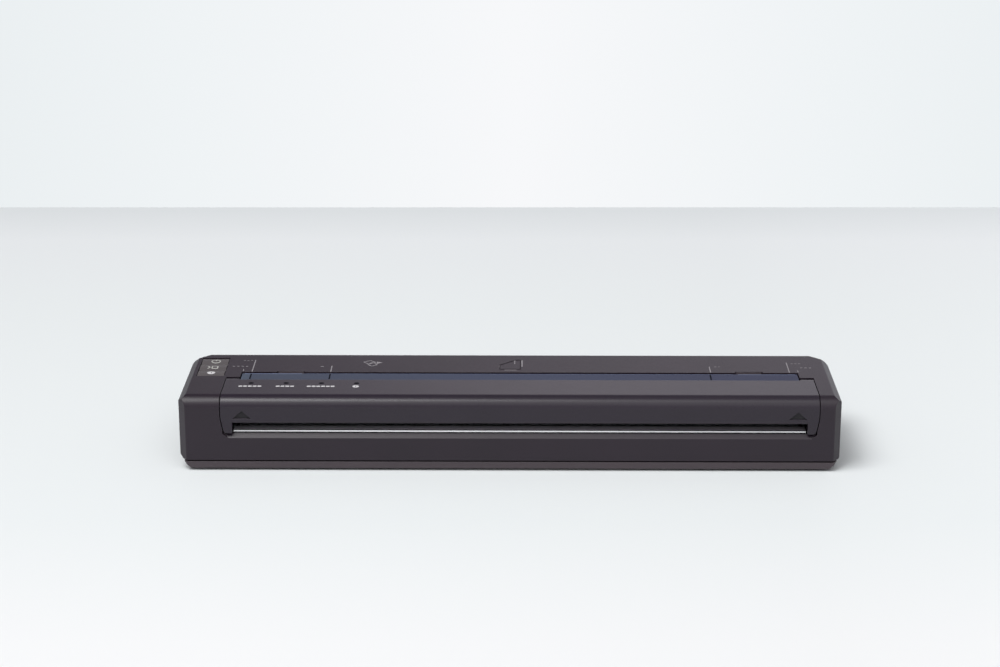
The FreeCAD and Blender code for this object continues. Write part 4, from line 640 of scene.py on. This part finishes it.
finishes["board_green"] = board_material()
finishes["chip_black"] = finish(
    "chip_black", srgb(26, 26, 28), srgb(34, 34, 36), rough=0.55, grain=0.00012,
    depth=0.00001, patch=0.002, edge=0.0001, edge_colour=srgb(52, 52, 54))
finishes["lens_plastic"] = finish(
    "lens_plastic", srgb(12, 12, 14), srgb(16, 16, 19), rough=0.70, grain=0.0004,
    depth=0.000002, patch=0.001, edge=0.0001, Specular_IOR_Level=0.05)
finishes["cable_film"] = finish(
    "cable_film", srgb(176, 112, 40), srgb(150, 88, 26), rough=0.26, grain=0.0005,
    depth=0.000006, stretch=(0.5, 8.0, 8.0), patch=0.0012, edge=0.00005)
print("electronic finishes ready")

# %% [markdown]
# ## The heater strip
# The print head's ceramic is pale and glazed, and one dark glass ridge along it holds the heating
# dots. The ridge is told apart by its place: it is the only part of the strip near the platen's
# own line, so a mask over Y darkens it and leaves the rest pale.

# %% Ceramic
RIDGE_Y = -0.0110
RIDGE_HALF = 0.0005


def ceramic_material():
    """Glazed pale ceramic with a dark line where it prints."""
    material = finish("ceramic", srgb(214, 208, 190), srgb(204, 198, 180), rough=0.18,
                      grain=0.0005, depth=0.000002, patch=0.004, edge=0.0001,
                      Coat_Weight=0.5, Coat_Roughness=0.08)
    tree, shader, tone = opened(material)
    ridge = add(tree, "ShaderNodeMath", {1: RIDGE_Y, 2: RIDGE_HALF}, operation="COMPARE")
    mix = add(tree, "ShaderNodeMix", data_type="RGBA")
    mix.inputs[COLOUR_B].default_value = srgb(58, 44, 38)
    tree.links.new(own_axis(tree, "Y"), ridge.inputs[0])
    join(tree, ridge, "Value", mix, FACTOR)
    tree.links.new(tone, mix.inputs[COLOUR_A])
    tree.links.new(mix.outputs[COLOUR_OUT], shader.inputs["Base Color"])
    return material


finishes["ceramic"] = ceramic_material()
print("ceramic ready; finishes:", len(finishes))

# %% [markdown]
# ## Dressing the solids
# Each node came with a slot name from the record. Swapping the plain material in that slot for
# the finish of the same name dresses all the solids at once, and keeps the record and the picture
# in step. Only the bottom cover and the battery door differ: they get the lower shell's plastic.

# %% Give every node its finish


def dress(node, other=None):
    """Put the finish named by each slot of a node in its place, or another finish."""
    for holder in node.material_slots:
        holder.material = finishes[other or holder.material.name.split(".")[0]]


for name, node in nodes.items():
    dress(node, "base_plastic" if name in ("bottom_cover", "battery_door") else None)
print("dressed", len(nodes), "nodes")

# %% [markdown]
# ## Laying thin shapes on a surface
# Printed marks and small raised signs are shapes a few hundredths of a millimetre thick. They
# could be painted in the material, but as meshes they stay sharp from close by and can be moved
# with their part. Each outline is dropped on the surface below it with a ray, point by point, so
# a mark on a crowned key follows the crown.

# %% Find the surface
CLEAR = 60.0
LOOK = {"top": (Vector((0, 0, -1)), lambda u, v: Vector((u, v, CLEAR))),
        "front": (Vector((0, 1, 0)), lambda u, v: Vector((u, -CLEAR, v))),
        "under": (Vector((0, 0, 1)), lambda u, v: Vector((u, v, -CLEAR)))}


def surface_of(node, side):
    """A function that gives the point of a node under (u, v) millimetres, seen from a side."""
    mesh = node.data
    tree = BVHTree.FromPolygons([v.co for v in mesh.vertices], [p.vertices for p in mesh.polygons])
    ray, start = LOOK[side]

    def point(u, v, lift):
        hit = tree.ray_cast(start(u, v) * MM, ray)[0]
        return hit - ray * (lift * MM)
    return point


print("housing's top over the origin's rear:",
      round(surface_of(nodes["top_housing"], "top")(0, 12, 0).z / MM, 2), "mm")

# %% Lay shapes on it


def divided(loop, pieces):
    """A loop with each edge cut into a number of pieces, so that it can follow a curve."""
    points = []
    for i, (u, v) in enumerate(loop):
        next_u, next_v = loop[(i + 1) % len(loop)]
        points += [(u + (next_u - u) * k / pieces, v + (next_v - v) * k / pieces)
                   for k in range(pieces)]
    return points


def lay(name, node_name, side, shapes, thickness, material, body, sink=0.02, pieces=1):
    """Thin shapes on a node's surface. Each is an outer loop, with an inner loop or None."""
    point = surface_of(nodes[node_name], side)
    form = bmesh.new()
    for outer, inner in shapes:
        outer = divided(outer, pieces)
        inner = divided(inner, pieces) if inner else None
        rings = []
        for loop in (outer, inner):
            if loop:
                rings.append(([form.verts.new(point(u, v, -sink)) for u, v in loop],
                              [form.verts.new(point(u, v, thickness)) for u, v in loop]))
        count = len(outer)
        for i in range(count):
            j = (i + 1) % count
            low, high = rings[0]
            form.faces.new((low[i], low[j], high[j], high[i]))
            if inner:
                inner_low, inner_high = rings[1]
                form.faces.new((inner_low[j], inner_low[i], inner_high[i], inner_high[j]))
                form.faces.new((high[i], high[j], inner_high[j], inner_high[i]))
                form.faces.new((low[j], low[i], inner_low[i], inner_low[j]))
        if not inner:
            form.faces.new(rings[0][1])
            form.faces.new(rings[0][0][::-1])
    bmesh.ops.recalc_face_normals(form, faces=form.faces)
    mesh = bpy.data.meshes.new(name)
    form.to_mesh(mesh)
    form.free()
    mesh.materials.append(material)
    piece = bpy.data.objects.new(name, mesh)
    bpy.context.scene.collection.objects.link(piece)
    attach(piece, body)
    return piece


# %% [markdown]
# ## Outlines to choose from
# The marks need only a few outlines: a bar, a line between two points, a circle, an oval and a
# rounded frame. Each is a loop of points in millimetres, as one would draw it on squared paper.

# %% Outlines


def bar(x, y, width, depth):
    """A rectangle's loop about its middle."""
    return [(x - width / 2, y - depth / 2), (x + width / 2, y - depth / 2),
            (x + width / 2, y + depth / 2), (x - width / 2, y + depth / 2)]


def stroke(start, end, width):
    """A straight line's loop, with a width."""
    along = (Vector(end) - Vector(start)).normalized()
    side = Vector((-along.y, along.x)) * (width / 2)
    first, last = Vector(start), Vector(end)
    return [tuple(p) for p in (first - side, last - side, last + side, first + side)]


def ring(x, y, radius, first=0.0, last=360.0, steps=40):
    """Points round a circle, or along it from one angle to another, in degrees."""
    full = abs(last - first) >= 360.0
    count = steps if full else steps + 1
    angles = [math.radians(first + (last - first) * i / steps) for i in range(count)]
    return [(x + radius * math.cos(a), y + radius * math.sin(a)) for a in angles]


def oval(x, y, half_width, half_depth, steps=40):
    """Points round an oval."""
    turns = [2 * math.pi * i / steps for i in range(steps)]
    return [(x + half_width * math.cos(a), y + half_depth * math.sin(a)) for a in turns]


def rounded(x, y, width, depth, radius, steps=6):
    """A rounded rectangle's loop about its middle."""
    points = []
    for turn, (sx, sy) in enumerate(((1, 1), (-1, 1), (-1, -1), (1, -1))):
        points += ring(x + sx * (width / 2 - radius), y + sy * (depth / 2 - radius), radius,
                       90 * turn, 90 * turn + 90, steps)
    return points


def frame_of(x, y, width, depth, radius, line):
    """The loops of a rounded frame: outer and inner."""
    inner = rounded(x, y, width - 2 * line, depth - 2 * line, max(radius - line, 0.05))
    return rounded(x, y, width, depth, radius), inner


print("a circle has", len(ring(0, 0, 1)), "points")

# %% [markdown]
# ## Printing ink
# The marks are pad-printed in a matt ink that is a little uneven. The four inks differ mostly in
# colour: pale for the guides, brighter for two of the key symbols, white beside the lamps, and
# dark where a line crosses the navy strip.

# %% Inks
INK = 0.015
pale_ink = finish("pale_ink", srgb(150, 146, 150), srgb(136, 132, 136), rough=0.6,
                  grain=0.0002, depth=0.000002, patch=0.002)
white_ink = finish("white_ink", srgb(214, 212, 214), srgb(200, 198, 201), rough=0.55,
                   grain=0.0002, depth=0.000002, patch=0.002)
dark_ink = finish("dark_ink", srgb(12, 13, 22), srgb(17, 18, 28), rough=0.9, grain=0.0002,
                  depth=0.000002, patch=0.002, Specular_IOR_Level=0.1)
sign_ink = finish("sign_ink", srgb(184, 184, 180), srgb(172, 172, 168), rough=0.6,
                  grain=0.0002, depth=0.000002, patch=0.002)
print("inks:", pale_ink.name, white_ink.name, dark_ink.name, sign_ink.name)

# %% [markdown]
# ## Sheet guides
# Two pairs of lines beside the feed slot show where sheets of two widths go in. The long outer
# pair belongs to the full-width sheet and the short inner pair to the half-size one. Small plain
# dashes stand beside them.

# %% Guide lines
SLOT_EDGE = 3.4
GUIDES = ((-101.9, 17.7), (-70.8, 10.6), (79.2, 10.6), (110.3, 15.8))
LINE = 0.42
# first x, step, count, y, width, depth
DASH_ROWS = ((-109.8, 1.75, 4, 9.8, 0.95, 0.5), (-106.2, 1.45, 3, 17.0, 0.8, 0.45),
             (-105.5, 0, 1, 5.2, 0.35, 2.4), (-74.6, 0, 1, 9.8, 1.2, 0.5),
             (81.6, 1.5, 2, 10.4, 0.8, 0.45), (115.6, 1.75, 3, 9.3, 0.95, 0.5),
             (112.4, 1.45, 3, 14.4, 0.8, 0.45), (113.8, 0, 1, 5.0, 0.35, 2.4))
lines = [(bar(x, (SLOT_EDGE + top) / 2, LINE, top - SLOT_EDGE), None) for x, top in GUIDES]
dashes = [(bar(first + step * i, y, width, depth), None)
          for first, step, count, y, width, depth in DASH_ROWS for i in range(count)]
lay("guide_lines", "top_housing", "top", lines, INK, pale_ink, "chassis")
lay("sheet_marks", "top_housing", "top", dashes, INK, pale_ink, "chassis")
print("guide lines:", len(lines), "dashes:", len(dashes))

# %% [markdown]
# ## Lines across the strip
# Three of the guide lines go on across the navy strip as dark ones. A thin blue painted highlight
# is laid along the strip's rear edge, and behind it the far faces of two shallow notches in the
# housing get painted light, a paler plate.

# %% Strip lines, strip highlight and painted light on the notch faces
STRIP_LINE_X = (-101.9, -70.8, 78.8)
STRIP_LINE_Y, STRIP_LINE, STRIP_LINE_DEPTH = -2.4, 0.6, 6.4
# painted highlight: thin blue bars along the strip's rear edge
STRIP_HIGHLIGHT_BARS = ((-93.2, 0.9, 22.6, 0.55), (101.0, 0.9, 22.6, 0.4), (3.8, 1.0, 168.0, 0.22))
NOTCH_X, NOTCH_HALF = (-86.5, 94.3), 5.0
NOTCH_FOOT, NOTCH_TOP = 28.7, 29.9
lay("strip_lines", "feed_strip", "top",
    [(bar(x, STRIP_LINE_Y, STRIP_LINE, STRIP_LINE_DEPTH), None) for x in STRIP_LINE_X],
    INK, dark_ink, "cover")
# painted highlight along the strip's rear edge
strip_highlight_paint = finish("strip_highlight_paint", srgb(112, 124, 156), srgb(102, 114, 146), rough=0.45, grain=0.0002,
                  depth=0.000002, patch=0.004)
lay("strip_painted_highlight", "feed_strip", "top", [(bar(*highlight_bar), None) for highlight_bar in STRIP_HIGHLIGHT_BARS], INK, strip_highlight_paint,
    "cover")
# painted light: a paler plate over the shaded far faces of the notches
notch_light_paint = finish("notch_painted_light", srgb(84, 76, 82), srgb(90, 82, 88), rough=0.5, grain=0.0002,
                   depth=0.000004, patch=0.003)
notch_light_plates = [([(x - NOTCH_HALF, NOTCH_FOOT), (x + NOTCH_HALF, NOTCH_FOOT),
             (x + NOTCH_HALF, NOTCH_TOP), (x - NOTCH_HALF, NOTCH_TOP)], None) for x in NOTCH_X]
lay("notch_painted_light_plates", "top_housing", "front", notch_light_plates, INK, notch_light_paint, "chassis")
print("strip lines:", len(STRIP_LINE_X), "strip_highlights:", len(STRIP_HIGHLIGHT_BARS), "notches:", len(notch_light_plates))

# %% [markdown]
# ## Marks beside the lamps
# Four tiny lamps sit in a row on the cover, each in a dark ring. The mark under each of the first
# three is a plain row of small blocks, and the fourth is a round dot, so nothing is spelled out.

# %% Lamp marks
LAMP_ROWS = ((-100.9, 5), (-87.3, 4), (-73.4, 6))
BLOCK, BLOCK_DEPTH, BLOCK_STEP = 1.55, 1.35, 1.85
MARK_Y = -14.0
DOT_X, DOT_RADIUS = -59.8, 1.3
LAMP_X, LAMP_STEP, LAMP_Y = -100.8, 13.7, -10.3
blocks = []
for middle, count in LAMP_ROWS:
    first = middle - BLOCK_STEP * (count - 1) / 2
    blocks += [(rounded(first + BLOCK_STEP * i, MARK_Y, BLOCK, BLOCK_DEPTH, 0.3, 3), None)
               for i in range(count)]
blocks.append((ring(DOT_X, MARK_Y, DOT_RADIUS), oval(DOT_X, MARK_Y, 0.16, 0.6)))
wells = [(oval(LAMP_X + LAMP_STEP * i, LAMP_Y, 1.05, 0.95),
          oval(LAMP_X + LAMP_STEP * i, LAMP_Y, 0.68, 0.68)) for i in range(4)]
lay("lamp_marks", "release_cover", "top", blocks, INK, white_ink, "cover")
lay("lamp_wells", "release_cover", "top", wells, INK, dark_ink, "cover")
print("lamp marks:", len(blocks), "rings:", len(wells))

# %% [markdown]
# ## Key symbols
# The keys carry plain signs: a ring with a bar for power, a sheet with an arrowhead for feed, and
# a filled dot for the wireless link. They are laid on the crowned key tops, with each edge cut in
# six so that it can follow the crown.

# %% Key symbols
KEY_X = -117.9
POWER_Y, FEED_Y, WIRELESS_Y = 15.9, 8.7, 2.1
CROWN_PIECES = 6


def power_sign(x, y):
    """A ring with an upright bar through its top."""
    return [(oval(x, y, 1.9, 1.7), oval(x, y, 1.45, 1.15)), (bar(x, y + 1.2, 0.6, 1.6), None)]


def feed_sign(x, y):
    """A small arrowhead and a sheet's outline."""
    return [frame_of(x + 0.7, y, 2.7, 2.9, 0.6, 0.5),
            (stroke((x - 2.1, y - 1.2), (x - 1.2, y), 0.5), None),
            (stroke((x - 1.2, y), (x - 2.1, y + 1.2), 0.5), None)]


def wireless_sign(x, y):
    """A filled dot with an upright slit."""
    return [(oval(x, y, 1.6, 1.7), oval(x + 0.1, y, 0.16, 0.8))]


signs = (("power_sign", "power_key", "power", power_sign(KEY_X + 0.3, POWER_Y), sign_ink),
         ("feed_sign", "feed_key", "feed", feed_sign(KEY_X, FEED_Y), sign_ink),
         ("wireless_sign", "wireless_key", "wireless", wireless_sign(KEY_X, WIRELESS_Y),
          white_ink))
for name, key_name, body, shapes, ink in signs:
    lay(name, key_name, "top", shapes, INK, ink, body, pieces=CROWN_PIECES)
print("key symbols:", len(signs))

# %% [markdown]
# ## Signs behind the slot
# Two small signs stand on the top behind the slot. A pair of fanned sheets is printed in the pale
# ink. A sheet with a folded corner is moulded: its outline stands up by less than a tenth of a
# millimetre in a darker shade, with pale printed lines at its foot and side.

# %% Fan and sheet signs
RAISED = 0.09
FAN_LINE, SHEET_LINE = 0.5, 0.4
FAN_BACK = ((-58.5, 15.4), (-55.9, 17.4), (-53.6, 15.0), (-56.3, 13.0))
FAN_FRONT = ((-56.9, 13.0), (-54.6, 15.0), (-52.9, 12.0), (-55.1, 10.3))
FAN_ARROW = ((-53.2, 16.0), (-53.2, 13.2), (-50.8, 14.7))
SHEET_CORNERS = ((-4.0, 7.0), (-4.0, 12.2), (2.0, 18.0), (4.2, 18.4), (4.2, 7.0))
SHEET_FOOT = ((0.2, 5.9, 4.8, 0.5), (4.8, 14.0, 0.5, 8.0), (1.9, 15.6, 0.4, 4.4),
              (-4.1, 10.6, 0.4, 2.6))


def outline_strokes(corners, width):
    """Straight strokes along a closed row of corners."""
    return [(stroke(corners[i], corners[(i + 1) % len(corners)], width), None)
            for i in range(len(corners))]


fan = outline_strokes(FAN_BACK, FAN_LINE) + outline_strokes(FAN_FRONT, FAN_LINE)
fan += [(list(FAN_ARROW), None)]
lay("fan_sign", "top_housing", "top", fan, INK, pale_ink, "chassis")
shade_ink = finish("shade_ink", srgb(30, 22, 30), srgb(36, 27, 35), rough=0.75, grain=0.0002,
                   depth=0.000002, patch=0.002)
sheet = outline_strokes(SHEET_CORNERS, SHEET_LINE)
lay("sheet_sign", "top_housing", "top", sheet, RAISED, shade_ink, "chassis")
lay("sheet_foot", "top_housing", "top", [(bar(*foot), None) for foot in SHEET_FOOT], INK, pale_ink,
    "chassis")
print("strokes in the fan:", len(fan), "in the sheet:", len(sheet))

# %% [markdown]
# ## Arrowheads and the blank label
# Two arrowheads are sunk into the cover's front wall over the slot's ends; their floors are rough
# and look darker. Underneath, the label's shallow recess holds a plain foil plate.

# %% Arrowheads and label
ARROW_X, ARROW_THICK = (-103.0, 110.6), 0.03
ARROW_FOOT, ARROW_HIGH, ARROW_HALF = 21.55, 24.3, 3.1
LABEL_X, LABEL_WIDTH, LABEL_DEPTH, LABEL_CORNER, LABEL_THICK = 3.8, 94.0, 20.0, 1.5, 0.12
arrows = [([(x - ARROW_HALF, ARROW_FOOT), (x + ARROW_HALF, ARROW_FOOT), (x, ARROW_HIGH)], None)
          for x in ARROW_X]
arrow_finish = finish("arrow_floor", srgb(26, 24, 28), srgb(30, 28, 32), rough=0.8, grain=0.0003,
                      depth=0.00002, patch=0.003)
lay("arrow_floors", "release_cover", "front", arrows, ARROW_THICK, arrow_finish, "cover")
label_foil = finish("label_foil", srgb(176, 177, 180), srgb(168, 169, 172), rough=0.42,
                    grain=0.0004, depth=0.000003, metal=0.6, patch=0.01, edge=0.0001)
plate = [(rounded(LABEL_X, 0, LABEL_WIDTH, LABEL_DEPTH, LABEL_CORNER), None)]
lay("blank_label", "bottom_cover", "under", plate, LABEL_THICK, label_foil, "chassis")
print("arrowheads:", len(arrows), "label:", LABEL_WIDTH, "by", LABEL_DEPTH, "mm")

# %% [markdown]
# ## Springs under the print head
# Opening the cover lets the print head drop by four degrees, and the five springs under it are
# pressed shorter. The imported springs are one rigid mesh, so a copy of them stands in their
# place.

# %% Springs under the print head
pressed = bpy.data.objects.new("pressed_springs", nodes["head_springs"].data.copy())
bpy.context.scene.collection.objects.link(pressed)
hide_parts("head_springs")
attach(pressed, "chassis")
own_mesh(pressed)
